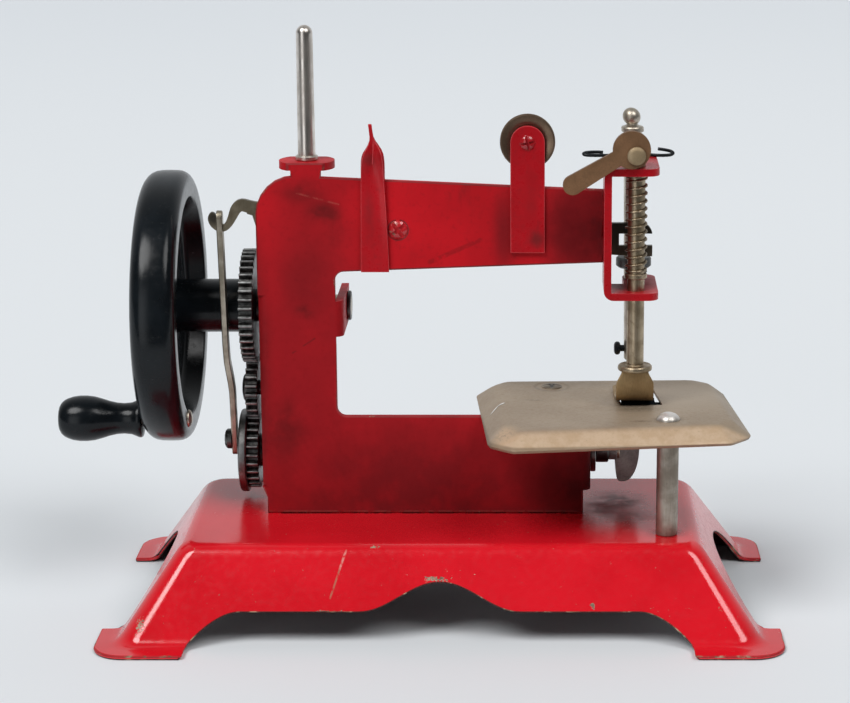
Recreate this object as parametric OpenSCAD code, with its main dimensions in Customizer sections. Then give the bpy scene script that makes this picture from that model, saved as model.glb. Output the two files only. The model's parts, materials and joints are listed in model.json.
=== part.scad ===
// Hand-cranked toy sewing machine in stamped sheet metal, millimetres, +Z up.
// The origin is on the table under the middle of the whole length, +X runs from the wheel to the needle.

/* [Base] */
// Length over the feet
base_l = 180; // [165:1:215]
// Width over the feet
base_w = 100; // [94:1:130]
// Height of the flat top above the table
base_h = 25; // [20:0.5:35]
// Thickness of the base's sheet
base_t = 1.2; // [0.8:0.1:1.6]
// Length of the flat top
base_top_l = 136; // [130:1:150]
// Width of the flat top
base_top_w = 62.6; // [56:0.2:72]
// Width of the flange at the end of a foot
foot_end_w = 4.7; // [3:0.1:7]
// Width of the flange along the side of a foot
foot_side_w = 6.1; // [3:0.1:8]
// Corner radius of a foot's flange
foot_corner_r = 8.5; // [6:0.5:14]
// Corner radius of the walls at the table
base_corner_r = 5; // [4:0.5:9]
// Corner radius of the walls at the top
base_top_r = 4; // [3:0.5:5]
// Drop of the rounded edge round the top
base_bend = 2.2; // [1:0.1:3]
// Gap between the feet along a side, at the table
side_gap_l = 132; // [120:1:140]
// Height of the straight part of the apron's edge
apron_h = 9.1; // [6:0.1:12]
// Radius of the curve from apron to foot
apron_leg_r = 13.4; // [10:0.1:15]
// Height of the apron's middle arch
apron_arch_h = 16.1; // [13:0.1:18]
// Length of the apron's middle arch
apron_arch_l = 42; // [30:1:60]
// Gap between the feet across an end, at the table
end_gap_w = 58; // [30:1:64]
// Height of the arch at an end
end_arch_h = 16; // [10:0.5:17]

/* [Frame plate] */
// Thickness of the frame's sheet
frame_t = 2; // [1.6:0.1:2.4]
// Distance of the frame's front face before the base's middle line
frame_setback = 3.3; // [2.5:0.1:5]
// Distance of the frame's left edge from the middle
frame_left = 49.3; // [47:0.1:52]
// Distance of the lower arm's right end from the middle
lower_arm_reach = 38; // [36:0.1:40]
// Distance of the upper arm's right end from the middle
upper_arm_reach = 42.9; // [41:0.1:46]
// Height of the lower arm above the base
lower_arm_h = 27.4; // [26:0.1:28]
// Width of the upright between left edge and throat
upright_w = 20.8; // [18:0.1:24]
// Height of the throat at the upright
throat_h = 39.8; // [37:0.1:44]
// Rise of the throat's upper edge from the upright to the head
throat_rise = 2.5; // [0:0.1:4]
// Depth of the upper arm at the upright
arm_depth = 25.9; // [24:0.1:28]
// Depth of the upper arm at the head
arm_tip_depth = 19.7; // [19:0.1:22]
// Radius of the frame's top left corner
frame_corner_r = 10.5; // [6:0.5:14]
// Outer radius of the bends from the plate to its bearing tabs
frame_bend_r = 2.4; // [1:0.1:3]
// Radius of the throat's corners
throat_r = 2.4; // [1:0.1:4]
// Depth of the bearing tabs behind the frame's front face
bearing_tab_d = 23.6; // [22:0.1:28]
// Height of the bearing tabs of the two shafts
bearing_tab_h = 13.1; // [12:0.1:15]

/* [Spool pin, thread guide and tension] */
// Diameter of the spool pin
spool_pin_d = 4.6; // [4:0.1:5.5]
// Length of the spool pin above its collar
spool_pin_l = 34.5; // [25:0.5:45]
// Width of the spool tab
spool_tab_w = 14.8; // [12:0.2:18]
// Depth of the spool tab
spool_tab_d = 11.2; // [10:0.2:14]
// Distance of the spool pin from the frame's left edge
spool_pin_in = 13.5; // [12:0.1:16]
// Thickness of the thread guide and tension strips
strip_t = 1.1; // [0.8:0.1:1.4]
// Width of the thread guide strip at its foot
guide_w = 7.6; // [6:0.1:9]
// Height of the thread guide strip over the throat's edge
guide_h = 39; // [34:0.5:44]
// Width of the tension strip
tension_w = 9.1; // [8:0.1:11]
// Height of the tension discs' centre above the throat's upper edge
tension_h = 33.6; // [32:0.1:38]
// Diameter of the tension discs
tension_disc_d = 14.6; // [12:0.2:16]

/* [Head] */
// Thickness of the head bracket's sheet
bracket_t = 2; // [1.6:0.1:2.4]
// Height of the head bracket
bracket_h = 35.1; // [34:0.1:38]
// Length of the head bracket's tabs
bracket_l = 14.5; // [13:0.1:17]
// Depth of the head bracket before the frame's front face
bracket_front = 10.5; // [9.5:0.1:12]
// Depth of the head bracket behind the frame's front face
bracket_back = 14.3; // [13.5:0.1:17]
// Distance of both bars from the bracket's web
bar_in = 8.6; // [8.2:0.1:9]
// Diameter of the presser bar
presser_bar_d = 4.6; // [4:0.1:4.8]
// Distance of the presser bar from the bracket's front edge
presser_bar_in = 4.8; // [4.6:0.1:5.2]
// Diameter of the needle bar
needle_bar_d = 4.8; // [4:0.1:5]
// Distance of the needle bar behind the frame's front face
needle_bar_back = 9.6; // [9.4:0.1:10]
// Diameter of the needle
needle_d = 1.1; // [0.8:0.1:1.4]
// Wire of the presser spring
spring_wire = 0.8; // [0.6:0.1:0.9]
// Turns of the presser spring
spring_turns = 11; // [8:1:13]
// Radius of the lifter's round cam
lifter_cam_r = 5.4; // [5:0.1:5.8]
// Offset of the cam's centre from its pivot
lifter_offset = 1.6; // [1.4:0.1:1.8]
// Length of the lifter's arm from its pivot
lifter_arm_l = 18.4; // [16:0.2:22]

/* [Bed] */
// Height of the bed's top above the base
bed_up = 31.8; // [31.4:0.1:33]
// Thickness of the bed's sheet
bed_t = 1.2; // [1:0.1:1.4]
// Length of the bed's flat top
bed_top_l = 56.5; // [54:0.5:60]
// Width of the bed's flat top
bed_top_w = 48.7; // [46:0.5:54]
// Width of the bed's sloping edge
bed_edge_w = 5.5; // [4:0.1:7]
// Drop of the bed's sloping edge
bed_edge_drop = 4; // [3:0.1:4.2]
// Clip of the bed's corners
bed_clip = 6; // [3:0.5:9]
// Diameter of the bed's post
post_d = 5.8; // [5:0.1:7]
// Length of the needle slot in the bed
slot_l = 11.4; // [10:0.1:13]
// Width of the needle slot in the bed
slot_w = 17; // [16:0.5:20]

/* [Drive] */
// Distance of both shafts behind the frame's front face
shaft_back = 17.1; // [17:0.1:18]
// Height of the lower shaft above the base
lower_shaft_up = 13; // [12.9:0.1:13.6]
// Diameter of the wheel's shaft
wheel_shaft_d = 6; // [5:0.1:6.5]
// Diameter of the lower shaft
lower_shaft_d = 5; // [4:0.1:5.5]
// Module of the gears
gear_module = 0.75; // [0.74:0.005:0.76]
// Teeth of the wheel's gear
drive_teeth = 40; // [40:2:40]
// Teeth of the idler gear
idler_teeth = 22; // [22:2:22]
// Teeth of the crank gear
crank_teeth = 26; // [26:2:26]
// Face width of the gears
gear_w = 3.2; // [2.6:0.1:3.6]
// Diameter of the hand wheel
wheel_d = 74.6; // [66:0.2:76]
// Width of the hand wheel's rim
wheel_w = 12; // [11:0.2:15]
// Depth of the rim from its outside to its inside
rim_depth = 7.4; // [6:0.2:9]
// Diameter of the wheel's long hub
hub_d = 14; // [12:0.1:14.2]
// Length of the crank knob
knob_l = 22.8; // [18:0.2:26]
// Largest diameter of the crank knob
knob_d = 12.7; // [11:0.1:14]
// Throw of the crank
crank_throw = 5.6; // [5:0.1:6]
// Thickness of the rocker's sheet
rocker_t = 1.6; // [1.2:0.1:1.8]
// Distance of the rocker's pivot from the middle, toward the wheel
rocker_pivot_left = 11.5; // [8:0.1:14]
// Height of the rocker's pivot above the throat's edge at the upright
rocker_pivot_up = 11.4; // [11:0.1:12]
// Length of the rocker's tail, from pivot to hook
rocker_tail_l = 47.7; // [46:0.1:49]
// Thickness of the drive link
link_t = 1.6; // [1.2:0.1:1.8]
// Step of the drive link toward the crank at its lower end
link_step = 1.2; // [0:0.1:1.2]
// Width of the drive link
link_w = 3.6; // [3:0.1:3.8]

/* [Hidden] */

$fn = 64;
// Facets of the rounded corners in a hulled form
hull_fn = 32;
// Points along a quarter of a rounded corner in an outline
arc_steps = 6;
// Overrun of every cut past the face that it opens
over = 1;
// Thickness of the slices that a hulled form is stretched over
slice_t = 0.05;
// Radial clearance of a shaft, bar or pivot in its bearing
run_fit = 0.06;
// Clearance of a flat piece that slides on a flat seat
slide_fit = 0.05;
// Clearance between a moving piece and what it passes
pass_gap = 0.3;

// Colours of the finishes
red_paint = "firebrick";
nickel = "silver";
bronze = "rosybrown";
brown_steel = "sienna";
dark_steel = "dimgray";
black_gloss = "black";
bed_finish = "tan";

// Steps along the drive, from the frame's left edge out to the knob
gear_gap = 1.9;
drive_gear_extra = 0.5;
hub_show = 14.3;
knob_gap = 0.4;
wheel_side_l = gear_gap + gear_w + drive_gear_extra + hub_show + wheel_w + knob_gap + knob_l;
// The base's middle lies right of the origin, because the knob stands out past the base
mid_x = (frame_left + wheel_side_l - base_l / 2) / 2;

// Places of the frame
frame_y = -frame_setback;
frame_back_y = frame_y + frame_t;
frame_x = mid_x - frame_left;
lower_x = mid_x + lower_arm_reach;
window_x = frame_x + upright_w;
window_z = base_h + lower_arm_h;
arm_z = window_z + throat_h;
arm_tip_z = arm_z + throat_rise;
arm_top_z = arm_z + arm_depth;
arm_tip_top_z = arm_tip_z + arm_tip_depth;
// Notch at the foot of the left edge
notch_w = 1.3;
notch_up = 4.3;
notch_z = base_h + notch_up;
notch_rise = 3.2;
bearing_tab_y1 = frame_y + bearing_tab_d;
// Flange that stands on the base, and its rivets
flange_d = 11;
flange_left_in = 5;
flange_right_in = 2;
frame_rivet_d = 3;
frame_rivet_head_d = 5.6;
frame_rivet_head_h = 1.2;
frame_rivet_shares = [0.12, 0.5, 0.88];
// Neck of the spool tab
spool_neck_w = 8;
spool_neck_h = 1.4;
spool_x = frame_x + spool_pin_in;
spool_tab_z = arm_top_z + spool_neck_h;
spool_y = frame_y + spool_tab_d / 2;
spool_collar_d = 6;
spool_collar_h = 1.3;
spool_shank_d = 3.4;
spool_head_h = 1;

// Shaft and gear places, one above the other
shaft_y = frame_y + shaft_back;
lower_z = base_h + lower_shaft_up;
idler_z = lower_z + gear_module * (crank_teeth + idler_teeth) / 2;
wheel_z = idler_z + gear_module * (idler_teeth + drive_teeth) / 2;
gear_x1 = frame_x - gear_gap;
gear_x0 = gear_x1 - gear_w;
drive_x0 = gear_x0 - drive_gear_extra;
gear_boss_d = 9;
tooth_root_share = 0.29;
tooth_tip_share = 0.11;
addendum_share = 0.85;
dedendum_share = 1.25;
disc_t = 2.2;
disc_rim = 1;
disc_d = gear_module * crank_teeth + 2 * gear_module + 2 * disc_rim;
disc_x0 = gear_x0 - disc_t;
crank_lift_share = 0.77;
crank_pin_z = lower_z + crank_throw * crank_lift_share;
crank_pin_y = shaft_y - crank_throw * sqrt(1 - pow(crank_lift_share, 2));
idler_stud_d = 4;
idler_head_d = 8;
idler_head_h = 1.1;
idler_shoulder_d = 6.4;
idler_float = 0.2;
peen_h = 1;

// Rocker and link places
rocker_gap = 0.8;
rocker_y = frame_back_y + rocker_gap;
rocker_mid_y = rocker_y + rocker_t / 2;
pivot_x = mid_x - rocker_pivot_left;
pivot_z = arm_z + rocker_pivot_up;
rocker_boss_r = 6;
rocker_beam_h = 8.2;
rocker_pin_d = 5;
rocker_head_d = 5.4;
rocker_head_h = 0.9;
hook_x = pivot_x - rocker_tail_l;
hook_rise = 0.4;
hook_z = pivot_z + hook_rise;
hook_bead_r = 1.6;
hook_fit = 0.08;
link_x0 = hook_x - link_t / 2;
link_head = 4;
link_pin_d = 2.6;
link_pin_head_d = 5;
link_pin_head_h = 1.6;
link_run = crank_pin_y - rocker_mid_y;
link_fall = hook_z - crank_pin_z;
link_l = sqrt(link_run * link_run + link_fall * link_fall);
link_tilt = atan2(link_run, link_fall);

// Head places
web_x = mid_x + upper_arm_reach;
bracket_y0 = frame_y - bracket_front;
bracket_y1 = frame_y + bracket_back;
bracket_rise = 7.3;
bracket_top_z = arm_tip_top_z + bracket_rise;
bracket_low_z = bracket_top_z - bracket_h;
bracket_x1 = web_x + bracket_l;
bracket_bend_r = 2.6;
bracket_round_r = 3;
tenon_h = 4;
tenon_shares = [0.25, 0.75];
bar_x = web_x + bar_in;
presser_y = bracket_y0 + presser_bar_in;
needle_y = frame_y + needle_bar_back;
fork_slot_h = 3.3;
fork_slot_in = 4.2;
fork_end = 4.7;
fork_h = 9;
fork_drop = 3.2;
fork_z = pivot_z - fork_drop;
fork_round_r = 3.2;
drive_pin_d = 2.5;

// Bed places
bed_z = base_h + bed_up;
bed_needle_right = 6.5;
bed_x = bar_x - bed_needle_right;
bed_needle_back = 12;
bed_y = needle_y - bed_needle_back;
bed_low_l = bed_top_l + 2 * bed_edge_w;
bed_low_w = bed_top_w + 2 * bed_edge_w;
bed_clip_top_share = 0.55;
shelf_l = 15;
shelf_right_in = 1;
shelf_d = 19.5;
bed_rivet_x = lower_x - shelf_right_in - shelf_l / 2;
bed_rivet_back = 14.3;
bed_rivet_y = frame_y + bed_rivet_back;
bed_rivet_d = 4;
bed_rivet_head_d = 6.4;
bed_rivet_head_h = 0.7;
post_right = 14.8;
post_x = bed_x + post_right;
post_front = 15.8;
post_y = bed_y - post_front;
post_shank_d = 3.6;
post_dome_d = 5.8;
post_dome_h = 1.5;
slot_left = 4.5;
slot_x0 = bar_x - slot_left;
slot_behind = 3.2;
slot_y1 = needle_y + slot_behind;

// Wheel places
wheel_x1 = drive_x0 - hub_show;
wheel_x0 = wheel_x1 - wheel_w;
wheel_web_t = 4;
wheel_web_in = 2;
rim_round_r = 4;
rim_face_r = 3;
wheel_r = wheel_d / 2;
knob_drop_share = 0.9;
knob_rim_share = 0.78;
knob_radius = wheel_r - rim_depth * knob_rim_share;
knob_z = wheel_z - knob_radius * knob_drop_share;
knob_y = shaft_y - knob_radius * sqrt(1 - pow(knob_drop_share, 2));
knob_stud_d = 3;
knob_bore_share = 0.72;
clip_t = 1;

// Turns a form's own Z axis to +X at a place
module along_x(x, y, z) {
    translate([x, y, z]) rotate([0, 90, 0]) children();
}

// Turns a form's own Z axis to +Y at a place
module along_y(x, y, z) {
    translate([x, y, z]) rotate([-90, 0, 0]) children();
}

// Extrudes an outline drawn in X and Z through Y
module plate_y(y, t) {
    translate([0, y + t, 0]) rotate([90, 0, 0]) linear_extrude(t) children();
}

// Extrudes an outline drawn in Y and Z through X
module plate_x(x, t) {
    translate([x, 0, 0]) rotate([90, 0, 90]) linear_extrude(t) children();
}

// A box between two corners
module block(low, high) {
    translate(low) cube(high - low);
}

// Points along an arc
function arc(cx, cy, r, from, to) =
    [for (i = [0 : arc_steps]) let (a = from + (to - from) * i / arc_steps)
        [cx + r * cos(a), cy + r * sin(a)]];

// A rectangle about the origin with round corners
module round_rect(l, w, r) {
    square([l - 2 * r, w], center = true);
    square([l, w - 2 * r], center = true);
    for (sx = [-1, 1], sy = [-1, 1]) translate([sx * (l / 2 - r), sy * (w / 2 - r)]) circle(r);
}

// A domed rivet head, flat side down
module dome(d, h) {
    r = (d * d / 4 + h * h) / (2 * h);
    intersection() {
        translate([0, 0, h - r]) sphere(r);
        cylinder(h = h, d = d);
    }
}

// One thin slice of the base's walls at the corners
module base_slice(l, w, r, z) {
    for (sx = [-1, 1], sy = [-1, 1])
        translate([sx * (l / 2 - r), sy * (w / 2 - r), z]) cylinder(h = slice_t, r = r, $fn = hull_fn);
}

// The stretched form of the base, drawn in by a wall and lowered by a sheet
module base_form(draw_in, lower) {
    wall_l = base_l - 2 * foot_end_w - 2 * draw_in;
    wall_w = base_w - 2 * foot_side_w - 2 * draw_in;
    top_l = base_top_l - 2 * draw_in;
    top_w = base_top_w - 2 * draw_in;
    edge = (base_h - base_bend) / base_h;
    soft = base_bend / 2;
    translate([0, 0, -lower]) hull() {
        base_slice(wall_l, wall_w, base_corner_r, 0);
        base_slice(
            wall_l + (top_l - wall_l) * edge,
            wall_w + (top_w - wall_w) * edge,
            base_corner_r + (base_top_r - base_corner_r) * edge,
            base_h - base_bend);
        base_slice(top_l - soft / 2, top_w - soft / 2, base_top_r, base_h - soft / 2);
        base_slice(top_l - 3 * soft, top_w - 3 * soft, base_top_r - soft, base_h - slice_t);
    }
}

// Edge of the apron between the feet of one side, in X and Z
module apron_gap() {
    leg_x = side_gap_l / 2 - apron_leg_r;
    half = apron_arch_l / 2;
    rise = apron_arch_h - apron_h;
    leg = [for (i = [0 : arc_steps]) let (a = 90 * i / arc_steps)
        [leg_x + apron_leg_r * sin(a), apron_h * cos(a)]];
    crown = [for (i = [-2 * arc_steps : 2 * arc_steps]) let (x = half * i / (2 * arc_steps))
        [x, apron_h + rise * (1 + cos(180 * x / half)) / 2]];
    right = [for (p = leg) p];
    left = [for (i = [arc_steps : -1 : 0]) [-leg[i][0], leg[i][1]]];
    polygon(concat(
        [[-side_gap_l / 2, -over]], left, crown, right, [[side_gap_l / 2, -over]]));
}

// Arch between the feet of one end, in Y and Z
module end_gap() {
    half = end_gap_w / 2;
    polygon(concat(
        [[half, -over]],
        [for (i = [0 : 4 * arc_steps]) let (a = 180 * i / (4 * arc_steps))
            [half * cos(a), end_arch_h * sin(a)]],
        [[-half, -over]]));
}

module base() {
    wall_draw_share = 0.55;
    draw_in = base_t * wall_draw_share;
    wall_l = base_l - 2 * foot_end_w - 2 * base_t;
    wall_w = base_w - 2 * foot_side_w - 2 * base_t;
    color(red_paint) difference() {
        translate([mid_x, 0, 0]) {
            difference() {
                base_form(0, 0);
                base_form(draw_in, base_t);
                translate([0, 0, -over]) linear_extrude(over) square([base_l, base_w], center = true);
                plate_y(-base_w, 2 * base_w) apron_gap();
                plate_x(-base_l, 2 * base_l) end_gap();
            }
            linear_extrude(base_t) difference() {
                round_rect(base_l, base_w, foot_corner_r);
                round_rect(wall_l, wall_w, base_corner_r);
                square([side_gap_l, 2 * base_w], center = true);
                square([2 * base_l, end_gap_w], center = true);
            }
        }
        frame_rivet_places() cylinder(h = 2 * base_h, d = frame_rivet_d);
        translate([post_x, post_y, 0]) cylinder(h = 2 * base_h, d = post_shank_d);
    }
}

// Puts children under the frame's flange, where its rivets are
module frame_rivet_places() {
    x0 = frame_x + flange_left_in;
    x1 = lower_x - flange_right_in;
    for (share = frame_rivet_shares)
        translate([x0 + (x1 - x0) * share, frame_y + frame_t + (flange_d - frame_t) / 2, 0]) children();
}

module frame_rivets() {
    color(red_paint) frame_rivet_places() {
        top = base_h + frame_t;
        translate([0, 0, base_h - base_t]) cylinder(h = base_t + frame_t, d = frame_rivet_d);
        translate([0, 0, top]) dome(frame_rivet_head_d, frame_rivet_head_h);
        translate([0, 0, base_h - base_t]) mirror([0, 0, 1]) dome(frame_rivet_head_d, frame_rivet_head_h);
    }
}

// Outline of the flat plate, in X and Z
module frame_outline() {
    top_r = frame_corner_r;
    polygon(concat(
        [[frame_x + notch_w, base_h], [lower_x, base_h], [lower_x, window_z]],
        arc(window_x + throat_r, window_z + throat_r, throat_r, 270, 180),
        arc(window_x + throat_r, arm_z - throat_r, throat_r, 180, 90),
        [[web_x, arm_tip_z], [web_x, arm_tip_top_z]],
        arc(frame_x + top_r, arm_top_z - top_r, top_r, 90, 180),
        [[frame_x, notch_z + notch_rise], [frame_x + notch_w, notch_z]]));
    translate([spool_x - spool_neck_w / 2, arm_top_z - frame_corner_r])
        square([spool_neck_w, frame_corner_r + spool_neck_h + frame_t]);
    for (share = tenon_shares)
        translate([web_x - over, arm_tip_z + arm_tip_depth * share - tenon_h / 2])
            square([bracket_t + over, tenon_h]);
}

// What a rounded bend takes off a square corner at the front face; side is -1 for a left corner
module bend_cut(x, side, z0, z1) {
    r = frame_bend_r;
    translate([x, frame_y, z0]) linear_extrude(z1 - z0) difference() {
        translate([side < 0 ? -over : -r, -over]) square(r + over);
        translate([-side * r, r]) circle(r);
    }
}

// The wall bent back from the left edge, which carries both shafts and the idler
module left_wall() {
    tab_half = bearing_tab_h / 2;
    block([frame_x, frame_y, lower_z - tab_half + peen_h],
        [frame_x + frame_t, bearing_tab_y1, wheel_z + tab_half]);
}

module frame() {
    tab_half = bearing_tab_h / 2;
    shelf_x1 = lower_x - shelf_right_in;
    shelf_z = bed_z - bed_t;
    flange_x0 = frame_x + flange_left_in;
    flange_x1 = lower_x - flange_right_in;
    color(red_paint) difference() {
        union() {
            plate_y(frame_y, frame_t) frame_outline();
            left_wall();
            block([window_x, frame_y, wheel_z - tab_half],
                [window_x + frame_t, bearing_tab_y1, wheel_z + tab_half]);
            block([window_x - frame_t, frame_y, wheel_z - tab_half],
                [window_x + frame_t, frame_back_y, wheel_z + tab_half]);
            block([lower_x, frame_y, lower_z - tab_half],
                [lower_x + frame_t, bearing_tab_y1, lower_z + tab_half]);
            block([lower_x - frame_t, frame_y, lower_z - tab_half],
                [lower_x + frame_t, frame_back_y, lower_z + tab_half]);
            block([shelf_x1 - shelf_l, frame_y, window_z - frame_t], [shelf_x1, frame_back_y, shelf_z]);
            block([shelf_x1 - shelf_l, frame_y, shelf_z - frame_t], [shelf_x1, frame_y + shelf_d, shelf_z]);
            block([flange_x0, frame_y, base_h], [flange_x1, frame_y + flange_d, base_h + frame_t]);
            translate([spool_x, spool_y, spool_tab_z]) linear_extrude(frame_t) intersection() {
                circle(d = spool_tab_w);
                square([spool_tab_w, spool_tab_d], center = true);
            }
        }
        bend_cut(frame_x, -1, lower_z - tab_half + peen_h, wheel_z + tab_half);
        bend_cut(window_x + frame_t, 1, wheel_z - tab_half, wheel_z + tab_half);
        bend_cut(lower_x + frame_t, 1, lower_z - tab_half, lower_z + tab_half);
        along_x(frame_x - over, shaft_y, wheel_z)
            cylinder(h = upright_w + frame_t + 2 * over, d = wheel_shaft_d + 2 * run_fit);
        along_x(frame_x - over, shaft_y, idler_z) cylinder(h = frame_t + 2 * over, d = idler_stud_d);
        along_x(frame_x - over, shaft_y, lower_z)
            cylinder(h = lower_x - frame_x + frame_t + 2 * over, d = lower_shaft_d + 2 * run_fit);
        along_y(pivot_x, frame_y - over, pivot_z) cylinder(h = frame_t + 2 * over, d = rocker_pin_d);
        translate([spool_x, spool_y, spool_tab_z - over]) cylinder(h = frame_t + 2 * over, d = spool_shank_d);
        translate([bed_rivet_x, bed_rivet_y, shelf_z - frame_t - over])
            cylinder(h = frame_t + 2 * over, d = bed_rivet_d);
        frame_rivet_places() cylinder(h = base_h + frame_t + over, d = frame_rivet_d);
    }
}

module spool_pin() {
    tip_r = spool_pin_d / 2;
    top = spool_tab_z + frame_t;
    color(nickel) translate([spool_x, spool_y, 0]) {
        translate([0, 0, spool_tab_z]) cylinder(h = frame_t, d = spool_shank_d);
        translate([0, 0, spool_tab_z]) mirror([0, 0, 1]) dome(spool_pin_d, spool_head_h);
        translate([0, 0, top]) cylinder(h = spool_collar_h, d = spool_collar_d);
        translate([0, 0, top + spool_collar_h]) cylinder(h = spool_pin_l - tip_r, d = spool_pin_d);
        translate([0, 0, top + spool_collar_h + spool_pin_l - tip_r]) dome(spool_pin_d, tip_r);
    }
}

// The flat strip rises past the arm, narrows and ends in a pinched tip
module thread_guide() {
    guide_left = 6.2;
    guide_x = pivot_x - guide_left;
    half = guide_w / 2;
    shoulder_share = 0.78;
    pinch_share = 0.9;
    waist_share = 0.8;
    tip_share = 0.11;
    foot_z = arm_z + throat_rise / 2 - strip_t;
    color(red_paint) plate_y(frame_y - strip_t, strip_t) translate([guide_x, foot_z]) polygon([
        [-half, 0], [half, 0],
        [half * waist_share, guide_h * shoulder_share], [half * tip_share, guide_h * pinch_share],
        [0, guide_h], [-half * 2 * tip_share, guide_h],
        [-half * 3 * tip_share, guide_h * pinch_share], [-half * waist_share, guide_h * shoulder_share]]);
}

// Places of the tension discs, on the line of their rivet
tension_right = 22.9;
tension_x = mid_x + tension_right;
tension_z = arm_z + tension_h + throat_rise / 2;
tension_rivet_d = 2.6;
tension_head_d = 4.2;
tension_head_h = 0.8;
disc_sheet = 0.7;
disc_dish = 0.5;
disc_play = 0.15;

module tension_bracket() {
    foot = 29.5;
    color(red_paint) difference() {
        plate_y(frame_y - strip_t, strip_t) translate([tension_x, tension_z]) {
            circle(d = tension_w);
            translate([-tension_w / 2, -foot]) square([tension_w, foot]);
        }
        along_y(tension_x, frame_y - strip_t - over, tension_z)
            cylinder(h = strip_t + 2 * over, d = tension_rivet_d);
    }
}

// A dished disc, hollow side to -Z
module tension_disc() {
    r = tension_disc_d / 2;
    bore = tension_rivet_d / 2 + run_fit;
    flat_share = 0.55;
    rotate_extrude() polygon([
        [bore, disc_dish], [r * flat_share, disc_dish], [r, 0], [r, disc_sheet],
        [r * flat_share, disc_dish + disc_sheet], [bore, disc_dish + disc_sheet]]);
}

front_disc_y = frame_y + disc_play;
rear_disc_y = front_disc_y + 2 * (disc_sheet + disc_dish) + disc_play;

module front_tension_disc() {
    color(bronze) along_y(tension_x, front_disc_y + disc_sheet + disc_dish, tension_z) mirror([0, 0, 1])
        tension_disc();
}

module rear_tension_disc() {
    color(bronze) along_y(tension_x, rear_disc_y - disc_sheet - disc_dish, tension_z) tension_disc();
}

module tension_rivet() {
    tail_y = rear_disc_y + disc_play;
    front_y = frame_y - strip_t;
    color(red_paint) {
        along_y(tension_x, front_y, tension_z) cylinder(h = tail_y - front_y, d = tension_rivet_d);
        along_y(tension_x, front_y, tension_z) mirror([0, 0, 1]) dome(tension_head_d, tension_head_h);
        along_y(tension_x, tail_y, tension_z) cylinder(h = tension_head_h, d = tension_head_d);
    }
}

// Outline of one tab of the head bracket seen from above, with round free corners
module bracket_tab() {
    r = bracket_round_r;
    polygon(concat(
        [[web_x, bracket_y0]],
        arc(bracket_x1 - r, bracket_y0 + r, r, 270, 360),
        arc(bracket_x1 - r, bracket_y1 - r, r, 0, 90),
        arc(web_x + bracket_bend_r + 2 * r, bracket_y1 - r, r, 90, 180),
        [[web_x + bracket_bend_r + r, frame_back_y], [web_x, frame_back_y]]));
}

// Section of the bracket's web and bends, in X and Z
module bracket_section() {
    r = bracket_bend_r;
    polygon(concat(
        [[web_x + bracket_bend_r + bracket_round_r, bracket_low_z]],
        arc(web_x + r, bracket_low_z + r, r, 270, 180),
        arc(web_x + r, bracket_top_z - r, r, 180, 90),
        [[web_x + bracket_bend_r + bracket_round_r, bracket_top_z],
         [web_x + bracket_bend_r + bracket_round_r, bracket_top_z - bracket_t],
         [web_x + bracket_t, bracket_top_z - bracket_t],
         [web_x + bracket_t, bracket_low_z + bracket_t],
         [web_x + bracket_bend_r + bracket_round_r, bracket_low_z + bracket_t]]));
}

module head_bracket() {
    tab_x0 = web_x + bracket_bend_r;
    color(red_paint) difference() {
        union() {
            plate_y(bracket_y0, frame_back_y - bracket_y0) bracket_section();
            for (z = [bracket_low_z, bracket_top_z - bracket_t])
                translate([0, 0, z]) linear_extrude(bracket_t) intersection() {
                    bracket_tab();
                    translate([tab_x0, bracket_y0]) square([bracket_l, bracket_y1 - bracket_y0]);
                }
        }
        for (share = tenon_shares) {
            tenon_z = arm_tip_z + arm_tip_depth * share;
            block([web_x - over, frame_y, tenon_z - tenon_h / 2],
                [web_x + bracket_t + over, frame_back_y + over, tenon_z + tenon_h / 2]);
        }
        translate([bar_x, presser_y, bracket_low_z - over])
            cylinder(h = bracket_h + 2 * over, d = presser_bar_d + 2 * run_fit);
        translate([bar_x, needle_y, bracket_low_z - over])
            cylinder(h = bracket_h + 2 * over, d = needle_bar_d + 2 * run_fit);
    }
}

// A wire ring on the top tab round the needle bar, with an arm and an eye on each side
module thread_wire() {
    wire = 0.8;
    ring_r = needle_bar_d / 2 + 2 * wire;
    left_l = 8;
    right_l = 4.4;
    eye_r = 1.6;
    z = bracket_top_z + wire / 2;
    color(dark_steel) translate([bar_x, needle_y, z]) {
        rotate_extrude() translate([ring_r, 0]) circle(d = wire, $fn = 24);
        for (side = [[-1, left_l], [1, right_l]]) {
            along_x(side[0] * ring_r + (side[0] < 0 ? -side[1] : 0), 0, 0)
                cylinder(h = side[1], d = wire, $fn = 24);
            translate([side[0] * (ring_r + side[1] + eye_r), 0, 0])
                rotate_extrude() translate([eye_r, 0]) circle(d = wire, $fn = 24);
        }
    }
}

// Presser places, from the foot's sole up
sole_gap = 0.1;
sole_t = 1;
sole_z = bed_z + sole_gap;
ring_d = 9.2;
ring_t = 1.4;
ring_up = 10;
ring_z = bed_z + ring_up;
spring_seat_d = 6.4;
spring_seat_h = 1.4;
spring_seat_up = 3.2;
spring_seat_z = bracket_low_z + bracket_t + spring_seat_up;
lifter_pin_d = 3.2;
lifter_rest_gap = 0.15;
lifter_pin_z = bracket_top_z + lifter_cam_r - lifter_offset + lifter_rest_gap;
presser_top = 3.2;

module presser_bar() {
    top_z = lifter_pin_z + presser_top;
    color(nickel) difference() {
        translate([bar_x, presser_y, 0]) {
            translate([0, 0, ring_z]) cylinder(h = top_z - ring_z, d = presser_bar_d);
            translate([0, 0, ring_z]) cylinder(h = ring_t, d = ring_d);
            translate([0, 0, spring_seat_z]) cylinder(h = spring_seat_h, d = spring_seat_d);
        }
        along_y(bar_x, presser_y - presser_bar_d, lifter_pin_z)
            cylinder(h = 2 * presser_bar_d, d = lifter_pin_d);
    }
}

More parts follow.
